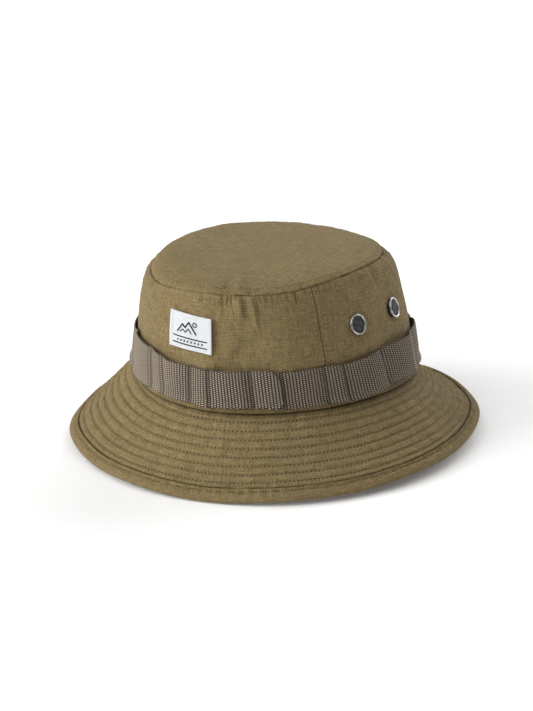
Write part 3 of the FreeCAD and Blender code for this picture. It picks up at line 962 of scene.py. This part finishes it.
# Folds in the crown wall: angle, half width in degrees, height in millimetres, the distances
# below the top seam where the fold starts and ends, and how far it drifts in degrees.
FOLDS = (
    (24.5, 0.55, -0.75, 0.0, 6.5, 0), (26.6, 0.45, -0.6, 0.0, 6.0, 0), (28.6, 0.45, -0.7, 0.0, 6.5, 0),
    (31.8, 1.00, 1.35, 3.5, 14.0, 0.5), (34.2, 1.00, -0.80, 1.5, 13.0, 0.5),
    (37.6, 0.80, 1.10, 4.0, 22.0, 1.0),
    (39.8, 0.70, -0.80, 0.0, 12.0, 0.5), (41.6, 0.40, -0.5, 0.0, 6.0, 0), (44.6, 0.45, -0.7, 0.0, 5.0, 0),
    (47.2, 0.45, -0.45, 0.0, 6.0, 0), (54.0, 0.50, -0.55, 0.0, 6.5, 0), (57.6, 0.50, -0.95, 0.0, 7.5, 0),
    (68.5, 0.60, -0.55, 0.0, 7.0, 0), (99.5, 0.90, -0.85, 1.0, 12.0, 0), (108.0, 0.80, -0.55, 1.0, 10.0, 0),
    (117.0, 0.90, -0.75, 1.0, 12.0, 0), (113.0, 1.10, 0.50, 3.0, 16.0, 1), (14.0, 0.60, -0.40, 0.0, 6.0, 0),
    (27.0, 2.60, 0.75, 32.0, 52.0, -14), (33.0, 2.40, -0.55, 34.0, 54.0, -12),
    (20.5, 2.00, -0.50, 8.0, 48.0, 1), (50.0, 4.00, 0.45, 20.0, 56.0, -5), (-4.0, 3.00, -0.50, 2.0, 20.0, -4),
    (-14.0, 4.00, 0.6, 4.0, 36.0, 5), (76.0, 3.00, 0.40, 14.0, 44.0, -6), (94.5, 4.00, 0.40, 18.0, 50.0, 6),
)
# More of the same where the hat is seen from behind, placed by chance: short ones, then long.
draw = np.random.default_rng(77).uniform
FOLDS += tuple((angle + draw(-2, 2), draw(0.4, 1.0), draw(-0.8, 0.5), 0.0, draw(5, 15), 0.0)
               for angle in np.arange(126.0, 344.0, 6.0))
FOLDS += tuple((angle + draw(-6, 6), draw(2, 4), draw(-0.6, 0.6), draw(4, 20), draw(35, 55), draw(-8, 8))
               for angle in np.arange(140.0, 344.0, 17.0))


def seam_angle(seam, level):
    """Side seams lean: the front pair come forward towards the brim."""
    lean = SEAM_LEAN if abs(seam) == FRONT_SEAM else 0.0
    return seam - math.copysign(lean, seam) * (1 - level)


def seam_distance(phi, level):
    """The signed distance in millimetres to the nearest side seam."""
    nearest = None
    for seam in SIDE_SEAMS:
        away = np.radians(turn_between(phi, seam_angle(seam, level))) * WALL_RADIUS
        nearest = away if nearest is None else np.where(abs(away) < abs(nearest), away, nearest)
    return nearest


def vent_dent(phi, level):
    """The cloth is drawn in round each eyelet."""
    dent = 0 * phi
    for angle, height in VENTS.values():
        x = np.radians(turn_between(phi, angle)) * WALL_RADIUS
        away = np.hypot(x, (level - height) * WALL_HEIGHT)
        dent = dent - 0.75 * bell(np.maximum(away - VENT_RIM, 0), 1.3)
    return dent


def top_pucker(phi, shift=0.0):
    return 0.6 * seam_pucker(phi + shift) + 0.6 * seam_pucker_wide(phi)


def wall_offset(phi, level):
    """The outer face of the crown wall: seams, puckers, folds and slack."""
    from_top = (1 - level) * WALL_HEIGHT
    height = 0.60 * wall_clouds(phi, level) * np.sqrt(np.clip(arch(level), 0, None))
    height += 0.10 * wall_fine(phi, level) + 0.05 * wall_creases(phi, level)
    for angle, half, rise, start, end, drift in FOLDS:
        share = (from_top - start) / (end - start)
        run = ease(share, -0.25, 0.12) * (1 - ease(share, 0.7, 1.2))
        height += rise * about(phi, angle + drift * share, half) * run
    height += about(phi, *SAG) * (0.5 * bell(from_top - 9.0, 2.4) - 1.2 * bell(from_top - 14.5, 2.2))
    # The top seam: its puckers, the allowance folded behind it, its stitches, its groove, and the
    # edge tucked in past it.
    height += 0.20 * top_pucker(phi) * np.exp(-from_top / 6.0)
    height += 0.38 * (1 - ease(from_top, 4.4, 6.2))
    height -= 0.30 * bell(from_top - WALL_ROW, 0.6)
    height -= 0.7 * bell(from_top, 0.32) * (1 - 0.5 * about(phi, *SHALLOW))
    height -= 1.1 * ease(-from_top, 0, 0.4)
    # The side seams: the allowance on one side, the stitches, puckers and the groove.
    away = seam_distance(phi, level)
    height += 0.25 * ease(away, -6.0, -5.0) * (1 - ease(away, -0.2, 0.6)) * ease(from_top, 1.0, 4.0)
    height -= 0.16 * bell(abs(away) - SIDE_ROW, 0.5)
    height += 0.09 * side_pucker(level * 1.3 + 0.4) * (1 - ease(abs(away), 2.0, 8.0))
    height -= 0.75 * bell(away, 0.28)
    # The seam with the brim.
    height += FLARE * (1 - ease(level * WALL_HEIGHT, 1.5, 8.0)) - 2.0 * bell(level * WALL_HEIGHT, 0.7)
    return height + vent_dent(phi, level)


def wall_crease_shade(phi, level):
    """Painted shade: dark lines in the top seam, the side seams and the seam with the brim."""
    shade = 0.62 - 0.25 * about(phi, *SHALLOW) + 0.2 * seam_pucker_wide(phi)
    dark = shade * bell((1 - level) * WALL_HEIGHT, 0.20 + 0.06 * about(phi, *WIDE))
    dark = np.maximum(dark, 0.62 * bell(seam_distance(phi, level), 0.24))
    return np.maximum(dark, 0.95 * bell(level * WALL_HEIGHT, 0.9))


def vent_place(name):
    """The centre of a vent on the wall, in metres, and the wall's normal there."""
    angle, level = VENTS[name]
    angle, level = np.array(math.radians(angle)), np.array(level)
    return Vector(wall(angle, level) * MM), (Vector(normals(wall, angle, level)) + VENT_LIFT).normalized()


def punch(piece, centre, axis):
    """Cuts a round hole through a piece."""
    bpy.ops.mesh.primitive_cylinder_add(vertices=48, radius=VENT_HOLE * MM, depth=16 * MM, location=centre)
    cutter = bpy.context.object
    cutter.rotation_euler = axis.to_track_quat("Z", "Y").to_euler()
    cut = piece.modifiers.new("vent", "BOOLEAN")
    cut.object = cutter
    cut.operation = "DIFFERENCE"
    cut.solver = "EXACT"
    bpy.context.view_layer.update()
    mesh = bpy.data.meshes.new_from_object(piece.evaluated_get(bpy.context.evaluated_depsgraph_get()))
    piece.modifiers.clear()
    piece.data = mesh
    bpy.data.objects.remove(cutter)


def crown_levels():
    """Levels up the wall, closer together at the two seams, where the cloth tucks in past them."""
    spans = ((-1.4, -0.9, -0.4), np.linspace(0.05, 1.2, 7), np.linspace(1.6, 6.8, 20),
             np.arange(7.4, 78.0, 0.75), (78.6, 79.2, 79.6, 80.0, 80.8))
    from_top = np.concatenate(spans)
    return 1 - from_top[::-1] / WALL_HEIGHT


# How close the columns of a panel's grid stand to its side seams, and then apart, in degrees.
SIDE_STEPS = np.array((0.02, 0.10, 0.2, 0.3, 0.42, 0.56, 0.75, 1.0, 1.3, 1.6, 1.95, 2.3, 2.6, 2.9, 3.3, 3.7,
                       4.1))
SIDE_ZONE, PANEL_STEP = 4.4, 0.3


def make_panel(name, first, last, vents):
    wide = abs((last - first) % 360)
    inner = np.arange(SIDE_ZONE, wide - SIDE_ZONE + 0.1, PANEL_STEP)
    share = np.concatenate([SIDE_STEPS, inner, wide - SIDE_STEPS[::-1]]) / wide
    share, level = grid(share, crown_levels())
    start, end = seam_angle(first, level), seam_angle(last, level)
    phi = np.radians(start + (end - start) % 360 * share)
    over = wall_offset(phi, level)
    under = np.minimum(over - 0.5, 0.45 * over - CROWN_CLOTH)
    piece = slab(name + "_cloth", wall, phi, level, over, under, canvas, closed=False, every=4,
                 crease_shade=wall_crease_shade(phi, level))
    for vent in vents:
        punch(piece, *vent_place(vent))
    dress(piece, "canvas", name)


def make_crown():
    make_panel("crown_front_panel", -FRONT_SEAM, FRONT_SEAM, ())
    make_panel("crown_side_panel_left", FRONT_SEAM, BACK_SEAM, ("left_front", "left_rear"))
    make_panel("crown_back_panel", BACK_SEAM, -BACK_SEAM, ())
    make_panel("crown_side_panel_right", -BACK_SEAM, -FRONT_SEAM, ("right_front", "right_rear"))


top_clouds = cloud(31, 1, 6, 0.9)
top_creases = cloud(32, 30, 90, 9.0, 26)
# Folds in the top panel: angle, half width, height, distance in from the seam and half length.
TOP_FOLDS = (
    (24.5, 2.0, -0.75, 9, 7), (30.0, 1.8, 0.70, 10, 8), (17.0, 2.5, 0.35, 8, 6), (40.0, 2.5, -0.40, 7, 6),
    (50.0, 3.0, -0.45, 14, 9), (56.0, 2.0, 0.30, 12, 7), (5.0, 4.0, -0.30, 12, 8), (75.0, 4.0, 0.3, 10, 8),
    (118.0, 3.0, -0.5, 6, 5), (150.0, 4.0, 0.5, 9, 7), (200.0, 3.0, -0.6, 9, 7), (250.0, 4.0, 0.5, 9, 8),
    (300.0, 3.0, -0.5, 8, 6), (335.0, 4.0, 0.4, 9, 7),
)
TOP_FOLD_DRIFT = 0.25


def top_offset(phi, level):
    """The top panel's face: a raised seam allowance, puckers and slow waves."""
    from_rim = (1 - level) * TOP_REACH
    height = 0.60 * top_clouds(phi, level) * level * (1 - level ** 8)
    height += 0.20 * top_pucker(phi, 0.01) * np.exp(-from_rim / 5.0)
    height += 0.05 * top_creases(phi, level) * level ** 3
    for angle, half, rise, place, reach in TOP_FOLDS:
        past = from_rim - place
        height += rise * about(phi, angle - TOP_FOLD_DRIFT * past, half) * bell(past, reach)
    height += 0.25 * (1 - ease(from_rim, 5.4, 7.0))
    height -= 0.26 * bell(from_rim - TOP_ROW, 0.6)
    height -= 0.6 * bell(from_rim, 0.32)
    return height


def make_top():
    rows, first = 900, 0.02
    spans = (np.linspace(0.05, 1.2, 7), np.linspace(1.6, 7.2, 20), np.arange(8.0, 78.0, 1.1))
    levels = np.append(first, 1 - np.concatenate(spans)[::-1] / TOP_REACH)
    phi, level = grid(full_turn(rows), levels)
    over = top_offset(phi, level)
    front = skin(top, phi, level, over)
    rear = skin(top, phi, level, np.minimum(over - 0.5, 0.4 * over - CROWN_CLOTH))
    columns = front.shape[1]
    middle = [face[:, 0].mean(axis=0) for face in (front, rear)]
    points = np.concatenate([front.reshape(-1, 3), rear.reshape(-1, 3), middle])
    faces = grid_faces(rows, columns, True, False)[0]
    count = rows * columns
    ring = np.arange(rows)
    following = (ring + 1) % rows
    centre = np.full(rows, 2 * count)
    fans = np.concatenate([np.stack([centre, ring * columns, following * columns], -1),
                           np.stack([centre + 1, count + following * columns, count + ring * columns], -1)])
    edge = columns - 1
    rim = np.stack([ring * columns + edge, following * columns + edge,
                    count + following * columns + edge, count + ring * columns + edge], -1)
    quads = np.concatenate([faces[:, ::-1], faces + count, rim])
    flat = points[:, :2] * MM
    item = new_mesh("crown_top_cloth", points, [quads, fans], canvas, [flat[quads], flat[fans]])
    fix_normals(item)
    # Painted shade along the top seam, wider where the seam is wide.
    far = about(phi, *WIDE)
    shade = 0.45 + 0.2 * seam_pucker_wide(phi) + 0.2 * far
    dark = (shade * bell((1 - level) * TOP_REACH, 0.16 + 0.06 * far)).ravel()
    mark_points(item, "crease_shade", np.concatenate([dark, 0 * dark, [0, 0]]))
    dress(item, "canvas", "crown_top")


def crown_stitches():
    """Topstitching beside the top seam and the side seams."""
    thread = dict(lift=0.2, radius=0.27, hole=(0.34, 0.25))
    closed_row("crown_stitch_row_wall", wall, 1 - WALL_ROW / WALL_HEIGHT, wall_offset, 2.6, thread_pale,
               node="crown_stitch_row", **thread)
    closed_row("crown_stitch_row_top", top, 1 - TOP_ROW / TOP_REACH, top_offset, 2.73, thread_pale, **thread)
    levels = np.linspace(0.33, 0.95, 60)
    for seam in SIDE_SEAMS:
        ends = "front" if abs(seam) == FRONT_SEAM else "back", "left" if seam > 0 else "right"
        name = "side_seam_%s_%s" % ends
        middle = np.radians(seam_angle(seam, levels))
        stitches(name + "_seam", wall, middle, levels, wall_offset, 3.0, thread_olive, share=0.5,
                 radius=0.16, lift=-0.1, hole=(0.50, 0.30))
        for side, label in ((-1, "before"), (1, "after")):
            line = middle + side * SIDE_ROW / WALL_RADIUS
            stitches("%s_%s" % (name, label), wall, line, levels, wall_offset, 2.9, thread_olive,
                     radius=0.2, hole=(0.26, 0.14))


# ---------------------------------------------------------------- webbing band

WEBBING_WIDTH = 25.6
WEBBING_LENGTH = 618.0
WEBBING_CLOTH = 0.8
RIB_COUNT = 306
STEPS_PER_RIB = 6
FLOAT_COUNT = 19
FLOAT_HEIGHT = 0.65
TACK_STEPS, TACK_SWING = 34, 0.009
TACK_ANGLES = (-55.0, -33.0, -12.0, 34.0, 61.5, 90.0, 116.0, 141.0, 167.0, 193.0, 218.0, 244.0, 270.0)
# The band's lower edge: (degrees, level).
band_low = around_hat((
    (-60, 0.076), (-30, 0.082), (-12, 0.084), (0, 0.076), (18, 0.074), (30, 0.080), (34, 0.078),
    (38, 0.064), (41, 0.052), (50, 0.048), (62, 0.050), (72, 0.036), (80, 0.048), (90, 0.074),
    (100, 0.086), (120, 0.084), (150, 0.070), (200, 0.062), (250, 0.070)), 1.2)
# The band is pulled wider where it is stretched flat: (degrees, share).
band_spread = around_hat((
    (-70, 1.0), (-50, 1.08), (-20, 1.15), (-9, 1.14), (-2, 1.05), (10, 1.03), (17, 0.99),
    (60, 1.0), (250, 1.0)), 1.5)
# How strongly the weave shows: (degrees, share).
band_texture = around_hat((
    (-60, 0.42), (-8, 0.45), (6, 0.95), (20, 1.0), (120, 1.0), (220, 0.9), (270, 0.9)), 2.0)
# How far each rib's lower end is ahead of its upper end round the hat: (degrees, degrees).
band_skew = around_hat((
    (-60, 0), (0, 0), (10, -1.2), (20, 0), (60, 0), (70, 0.8), (84, 2.6), (92, 2.2), (104, 0.5),
    (140, 0), (180, 1.0), (230, -1.0), (280, 0)), 3.0)
# How far the band stands off the crown: pressed in at each tack, slack between: (degrees, millimetres).
band_stand = around_hat((
    (-58.0, 0.6), (-55.0, 0.1), (-50.0, 0.6), (-44.0, 1.6), (-36.0, 2.0), (-33.0, 0.6), (-30.0, 2.4),
    (-20.0, 3.4), (-14.5, 3.2), (-12.4, 1.0), (-10.2, 3.0), (-6.5, 3.2), (-4.6, 1.6), (-2.5, 3.0),
    (3.0, 2.8), (8.8, 1.0), (12.5, 2.6), (15.8, 3.4), (17.2, 2.0), (20.0, 2.3), (24.0, 2.7), (30.5, 2.3),
    (33.5, 0.1), (36.0, 0.5), (45.0, 0.8), (52.0, 1.4), (60.0, 1.0), (61.5, 0.3), (63.5, 0.9), (68.2, 2.3),
    (70.4, 0.5), (74.0, 2.2), (82.0, 3.4), (88.2, 2.2), (90.3, 0.4), (92.5, 1.8), (99.0, 4.0), (108.0, 4.8),
    (113.5, 2.6), (116.0, 0.4), (120.0, 1.4), (129.0, 2.2), (138.0, 2.6), (141.0, 0.4), (144.0, 2.2),
    (154.0, 3.4), (164.0, 2.0), (167.0, 0.4), (170.0, 2.0), (180.0, 3.2), (190.0, 2.2), (193.0, 0.4),
    (196.0, 2.4), (206.0, 3.8), (215.0, 2.2), (218.0, 0.4), (221.0, 2.0), (231.0, 3.2), (241.0, 2.2),
    (244.0, 0.4), (247.0, 2.4), (257.0, 3.8), (267.0, 2.2), (270.0, 0.4), (274.0, 2.6), (286.0, 4.2),
    (300.0, 2.6)), 0.45)
band_sway = ripple(63, 3, 20)
# Where the band is folded or pressed in, its ribs sink and are painted with dark shade: angle, darkness and
# half width in degrees.
BAND_LINES = [(-43.0, 0.4, 0.4), (-4.6, 0.5, 0.3), (8.6, 0.5, 0.7), (17.0, 0.3, 0.35), (45.2, 0.35, 0.4),
              (70.3, 0.6, 0.35)]
BAND_LINES += [(angle, 0.6, 0.4) for angle in TACK_ANGLES]


def webbing_strip(name, ribs, first_rib, low_of, stand_of, closed, corner=0.0):
    """Webbing woven across: rounded ribs, each a row of floats set half a float from its neighbours.

    corner is how many ribs the rounded corner of a cut end takes up.
    """
    turn = TURN / RIB_COUNT
    rows = np.arange(ribs * STEPS_PER_RIB + (0 if closed else 1)) / STEPS_PER_RIB + first_rib
    count, across = grid(rows, np.linspace(0, 1, FLOAT_COUNT * 4 + 1))
    rib = 0.5 - 0.5 * np.cos(TURN * count)
    parity = np.floor(count + 1e-6) % 2
    beads = 0.5 + 0.5 * np.cos(TURN * (across * FLOAT_COUNT + 0.5 * parity))
    plain = count * turn
    relief = rib ** 0.6 * (0.06 + 0.94 * beads ** 1.15)
    relief = 0.5 + (relief - 0.5) * band_texture(plain)
    for angle, depth, half in BAND_LINES:
        relief = relief * (1 - depth * about(plain, angle, half))
    edge = np.minimum(across, 1 - across) * WEBBING_WIDTH
    soft_edge = np.sqrt(np.clip(edge / 0.9, 0, 1))
    across_bent = across
    if corner:
        last_rib = first_rib + ribs
        end = ease(count, last_rib - corner, last_rib)
        across_bent = 0.5 + (across - 0.5) * (1 - 0.42 * end ** 2.2)
        soft_edge = soft_edge * np.sqrt(np.clip((last_rib - count) * 1.6, 0, 1))
    phi = plain + np.radians(band_skew(plain)) * (0.5 - across)
    base = 0.3 + stand_of(plain) + 0.35 * band_sway(plain) * (across - 0.5) + 1.3 * (1 - ease(across, 0, 0.2))
    outer = base + WEBBING_CLOTH + FLOAT_HEIGHT * relief * soft_edge - 0.35 * (1 - soft_edge)
    inner = base + 0.3 * (1 - soft_edge)
    scallop = 0.34 * (rib - 0.5) / WALL_HEIGHT * (2 * across - 1)
    level = low_of(plain) + across_bent * band_spread(plain) * WEBBING_WIDTH / WALL_HEIGHT + scallop
    along = (count[:, 0] - first_rib) * (WEBBING_LENGTH * MM / RIB_COUNT)
    item = sheet_solid(name, skin(wall, phi, level, outer), skin(wall, phi, level, inner), along,
                       across[0] * WEBBING_WIDTH * MM, webbing_cloth, closed)
    # Painted light for the material: the relief, darker towards the soft edges as painted shade; the hidden
    # face gets a dimmer copy of the ribs.
    shade = np.concatenate([relief * (0.4 + 0.6 * soft_edge), 0.6 * rib[:, ::-1]], axis=1)
    mark_points(item, "relief", shade)
    return item


def make_webbing():
    band = webbing_strip("webbing_band_cloth", RIB_COUNT, 0, band_low, band_stand, True)
    dress(band, "webbing", "webbing_band")
    # The band's outer end laps over it at the front left and is cut with a rounded corner.
    first, last = 29, 38
    lap_stand = around_hat((
        (30, 0.5), (34.0, 1.2), (36.0, 2.4), (40.0, 2.9), (44.0, 3.4), (46, 3.5), (60, 0.5)), 0.5)
    lap_low = around_hat(((0, 0.08), (33, 0.080), (39, 0.082), (41.5, 0.074), (45, 0.050), (60, 0.05)), 0.8)
    end = webbing_strip("webbing_end_cloth", last - first, first, lap_low, lap_stand, False, corner=3.0)
    dress(end, "webbing")
    zigzag = np.where(np.arange(TACK_STEPS) % 2 == 0, -1, 1) * TACK_SWING
    for index, angle in enumerate(TACK_ANGLES):
        middle = np.radians(angle)
        levels = band_low(middle) + np.linspace(0.012, 0.308, TACK_STEPS)
        stitches("webbing_tack_%d" % (index + 1), wall, middle + zigzag, levels,
                 lambda p, l: 1.35 + band_stand(p), 1.35, thread_taupe, share=1.2, radius=0.22, hole=None)


# ---------------------------------------------------------------- front label

LABEL_FIRST, LABEL_LAST = -1.8, 19.3
LABEL_LOW, LABEL_HIGH = 0.53, 0.84
LABEL_FLAT = (0.0295, 0.0245)
LABEL_CLOTH = 0.55
LABEL_THREAD = 0.14
CORD_SIDES = 8


def label_place(u, v, lift=0.0):
    """A point of the label's face; u and v run from 0 to 1 across and up it."""
    u, v, lift = np.broadcast_arrays(np.asarray(u, float), np.asarray(v, float), np.asarray(lift, float))
    slip = -0.9 * (v - 0.5) * (1 - u)
    phi = np.radians(LABEL_FIRST + (LABEL_LAST - LABEL_FIRST) * u + slip)
    level = LABEL_LOW + (LABEL_HIGH - LABEL_LOW) * v + 0.012 * (1 - u) * (1 - v) - 0.006 * u - 0.024 * u * v
    curl = 1.0 * ease(u, 0.55, 1.0) ** 2 + 0.4 * (1 - ease(u, 0.0, 0.12))
    curl = curl + 0.9 * ease(u, 0.8, 1.0) * (1 - ease(v, 0.0, 0.25))
    return skin(wall, phi, level, 1.0 + curl + lift)


def label_line(name, marks, width):
    """Embroidery on the label: a flat satin cord through marks given as (u, v) pairs."""
    marks = np.asarray(marks, float)
    share = np.linspace(0, 1, 9)[:-1, None]
    dense = np.vstack([a + (b - a) * share for a, b in zip(marks[:-1], marks[1:])] + [marks[-1:]])
    path, raised = [label_place(*dense.T, LABEL_CLOTH + LABEL_THREAD + lift) for lift in (0, 1)]
    above = raised - path
    side = unit(np.cross(np.gradient(path, axis=0), above))
    points = tube_points(path, side * (width / 2), above * 0.13, CORD_SIDES)
    faces = grid_faces(len(path), CORD_SIDES, False, True)[0]
    ring = np.arange(CORD_SIDES)
    caps = [ring[::-1][None], (ring + (len(path) - 1) * CORD_SIDES)[None]]
    dress(new_mesh(name, points, [faces] + caps, thread_black), "thread")


def make_label():
    """A satin label with a plain peak-and-sun sign over two rules with a row of dots between them."""
    u, v = np.linspace(0, 1, 61), np.linspace(0, 1, 49)
    grid_u, grid_v = grid(u, v)
    hem = 0.22 * ((grid_u < 0.075) | (grid_u > 0.93))
    front, rear = label_place(grid_u, grid_v, LABEL_CLOTH + hem), label_place(grid_u, grid_v)
    item = sheet_solid("front_label_cloth", front, rear, u * LABEL_FLAT[0], v * LABEL_FLAT[1], label_white)
    dress(item, "label", "front_label")
    sun = [(0.62 + 0.045 * math.cos(a), 0.74 + 0.055 * math.sin(a)) for a in np.linspace(0, TURN, 13)]
    lines = (("peaks", [(0.20, 0.46), (0.33, 0.70), (0.39, 0.61), (0.48, 0.78), (0.66, 0.47)], 1.0),
             ("ridge", [(0.27, 0.47), (0.34, 0.56), (0.40, 0.48), (0.47, 0.60), (0.55, 0.47)], 0.7),
             ("sun", sun, 0.7), ("rule_upper", [(0.09, 0.335), (0.90, 0.325)], 0.78),
             ("rule_lower", [(0.09, 0.145), (0.90, 0.135)], 0.78))
    for name, marks, width in lines:
        label_line("label_" + name, marks, width)
    for index in range(8):
        middle = 0.215 + 0.082 * index
        label_line("label_dot_%d" % (index + 1), [(middle - 0.016, 0.235), (middle + 0.016, 0.235)], 1.2)


# ---------------------------------------------------------------- vents

def lathe(name, outline, centre, axis, material, sides=64):
    """A ring turned about axis from corners given as (radius, height)."""
    angles = full_turn(sides)[:, None]
    radius, height = np.array(outline).T
    local = stack(radius * np.cos(angles), radius * np.sin(angles), height)
    faces = grid_faces(sides, len(radius), True, True)[0]
    item = new_mesh(name, placed(local, centre, axis), [faces], material)
    fix_normals(item)
    return item


def eyelet_outline():
    """A broad rounded rim on a short barrel."""
    outline = [(5.45, -2.2), (6.0, -2.2), (6.05, 0.05), (6.75, 0.02)]
    for angle in np.radians(np.linspace(-20, 200, 15)):
        outline.append((6.20 + 0.75 * math.cos(angle), 0.70 + 0.85 * math.sin(angle)))
    outline.append((5.45, 0.1))
    return outline


def mesh_wires(name, centre, axis):
    """Woven wire: two crossing sets of wires, clipped to the eyelet and domed a little."""
    reach, pitch, radius, sides = 5.5, 0.95, 0.21, 6
    points, faces, offset = [], [], 0
    for crossing in (0, 1):
        for number, mark in enumerate(np.arange(-5, 6) * pitch):
            half = math.sqrt(reach ** 2 - mark ** 2)
            along = np.linspace(-half, half, max(8, int(half * 8)))
            weave = 0.20 * np.cos(math.pi * (along / pitch + number + crossing))
            line = stack(along, mark, 0.25 + 0.75 * (1 - (along ** 2 + mark ** 2) / reach ** 2) + weave)
            line = line[:, [1, 0, 2]] if crossing else line
            tangent = np.gradient(line, axis=0)
            side = unit(np.cross(tangent, np.array([0, 0, 1.0])))
            above = unit(np.cross(side, tangent))
            points.append(tube_points(line, side * radius, above * radius, sides).reshape(-1, 3))
            faces.append(grid_faces(len(line), sides, False, True)[0] + offset)
            offset += len(line) * sides
    return new_mesh(name, placed(np.concatenate(points), centre, axis), faces, wire)


def make_vents():
    # A black disc under the wire mesh: painted shade for the dark inside of the hat seen through the vent.
    shade_disc = [(0.01, -0.5), (0.01, -0.3), (5.5, -0.3), (5.5, -0.5)]
    for name in VENTS:
        centre, axis = vent_place(name)
        centre = centre - axis * VENT_SINK
        ring = lathe("vent_ring_" + name, eyelet_outline(), centre, axis, silver)
        dress(ring, "eyelet_metal", "vent_eyelet_" + name)
        dress(mesh_wires("vent_wires_" + name, centre, axis), "mesh_metal", "vent_mesh_" + name)
        dress(lathe("vent_backing_" + name, shade_disc, centre, axis, thread_black), "mesh_metal")
        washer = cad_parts["vent_washer_" + name]
        washer.data.materials.clear()
        washer.data.materials.append(silver)


# ---------------------------------------------------------------- inside of the hat

inside_waves = cloud(71, 3, 24, 1.0)


def ring_cloth(name, low, high, outer, thick, material, waves):
    """A ring of cloth inside the crown with rounded edges."""
    phi, level = grid(full_turn(720), np.linspace(low, high, 25))
    share = (level - low) / (high - low)
    soft = waves * inside_waves(phi, level)
    round_edge = 0.35 * thick * (1 - np.sqrt(np.clip(1 - (2 * share - 1) ** 12, 0, 1)))
    outer = outer + soft
    item = slab(name + "_cloth", wall, phi, level, outer - round_edge, outer - thick + round_edge, material)
    dress(item, "sweatband" if name == "sweatband" else "seam_tape", name)


def make_inside():
    ring_cloth("sweatband", 0.012, 0.388, -1.45, 1.2, lining_cloth, 0.12)
    ring_cloth("top_seam_tape", 0.882, 0.968, -1.75, 0.5, tape_cloth, 0.08)
    seams = (("front_left", FRONT_SEAM), ("back_left", BACK_SEAM), ("back_right", -BACK_SEAM),
             ("front_right", -FRONT_SEAM))
    for name, seam in seams:
        across, level = grid(np.linspace(-4.5, 4.5, 15), np.linspace(0.40, 0.862, 60))
        phi = np.radians(seam_angle(seam, level)) + across / OVALS["base"][1]
        wave = 0.06 * side_pucker(level * 1.7)
        bead = 0.12 * bell(abs(across) - 3.4, 0.3)
        item = slab("seam_tape_%s_cloth" % name, wall, phi, level, wave - 1.7, wave - 2.2 - bead, tape_cloth,
                    closed=False)
        dress(item, "seam_tape", "seam_tape_" + name)
    for name, level in (("sweatband_stitches_low", 0.035), ("sweatband_stitches_high", 0.368)):
        closed_row(name, wall, level, lambda p, l: 0.12 * inside_waves(p, l) - 2.62, 3.2, thread_olive,
                   side=-1, hole=None)


def make_size_label():
    """The woven size label hangs plumb from its fold; its sewn end lies on the sweatband."""
    low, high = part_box("size_label")
    fold = 0.45
    width, drop = (high.x - low.x) / MM, (high.z - low.z) / MM - fold
    middle, top_edge = (low.y + high.y) / 2 / MM, high.z / MM - fold
    u, v = np.linspace(-0.5, 0.5, 41), np.linspace(0, 1, 41)
    grid_u, grid_v = grid(u, v)
    wave = 0.16 * np.sin(grid_u * 7 + grid_v * 3) * grid_v
    x, z = grid_u * width, top_edge - grid_v * drop
    front, rear = [stack(x, middle + side * 0.2 + wave, z) for side in (-1, 1)]
    item = sheet_solid("size_label_cloth", front, rear, u * width * MM, v * drop * MM, label_white)
    dress(item, "label", "size_label", body="size_label")
    # Rows of five, four and three bars, which aren't letters.
    centres = [(x * 3.4, middle - 0.45, top_edge - 8 - 5 * row)
               for row in range(3) for x in np.arange(5 - row) - (4 - row) / 2]
    count = len(centres)
    bars = small_bars("size_marks", THREAD_RINGS, np.array(centres), np.tile([1.0, 0, 0], (count, 1)),
                      np.tile([0, -1.0, 0], (count, 1)), 2.0, 0.3, thread_black)
    dress(bars, "thread", body="size_label")
    phi, level = grid(math.pi + np.radians(np.linspace(-8.7, 8.7, 30)), np.linspace(0.332, 0.375, 8))
    tab = slab("size_label_tab_cloth", wall, phi, level, 0 * phi - 2.80, 0 * phi - 3.25, label_white,
               closed=False)
    dress(tab, "label", "size_label_tab")
    stitches("size_tab_stitches", wall, phi[:, 0], 0.362, lambda p, l: 0 * p - 3.30, 2.2, thread_olive,
             side=-1, hole=None)


make_brim()
brim_rows()
make_binding()
make_crown()
make_top()
crown_stitches()
make_webbing()
make_label()
make_vents()
make_inside()
make_size_label()
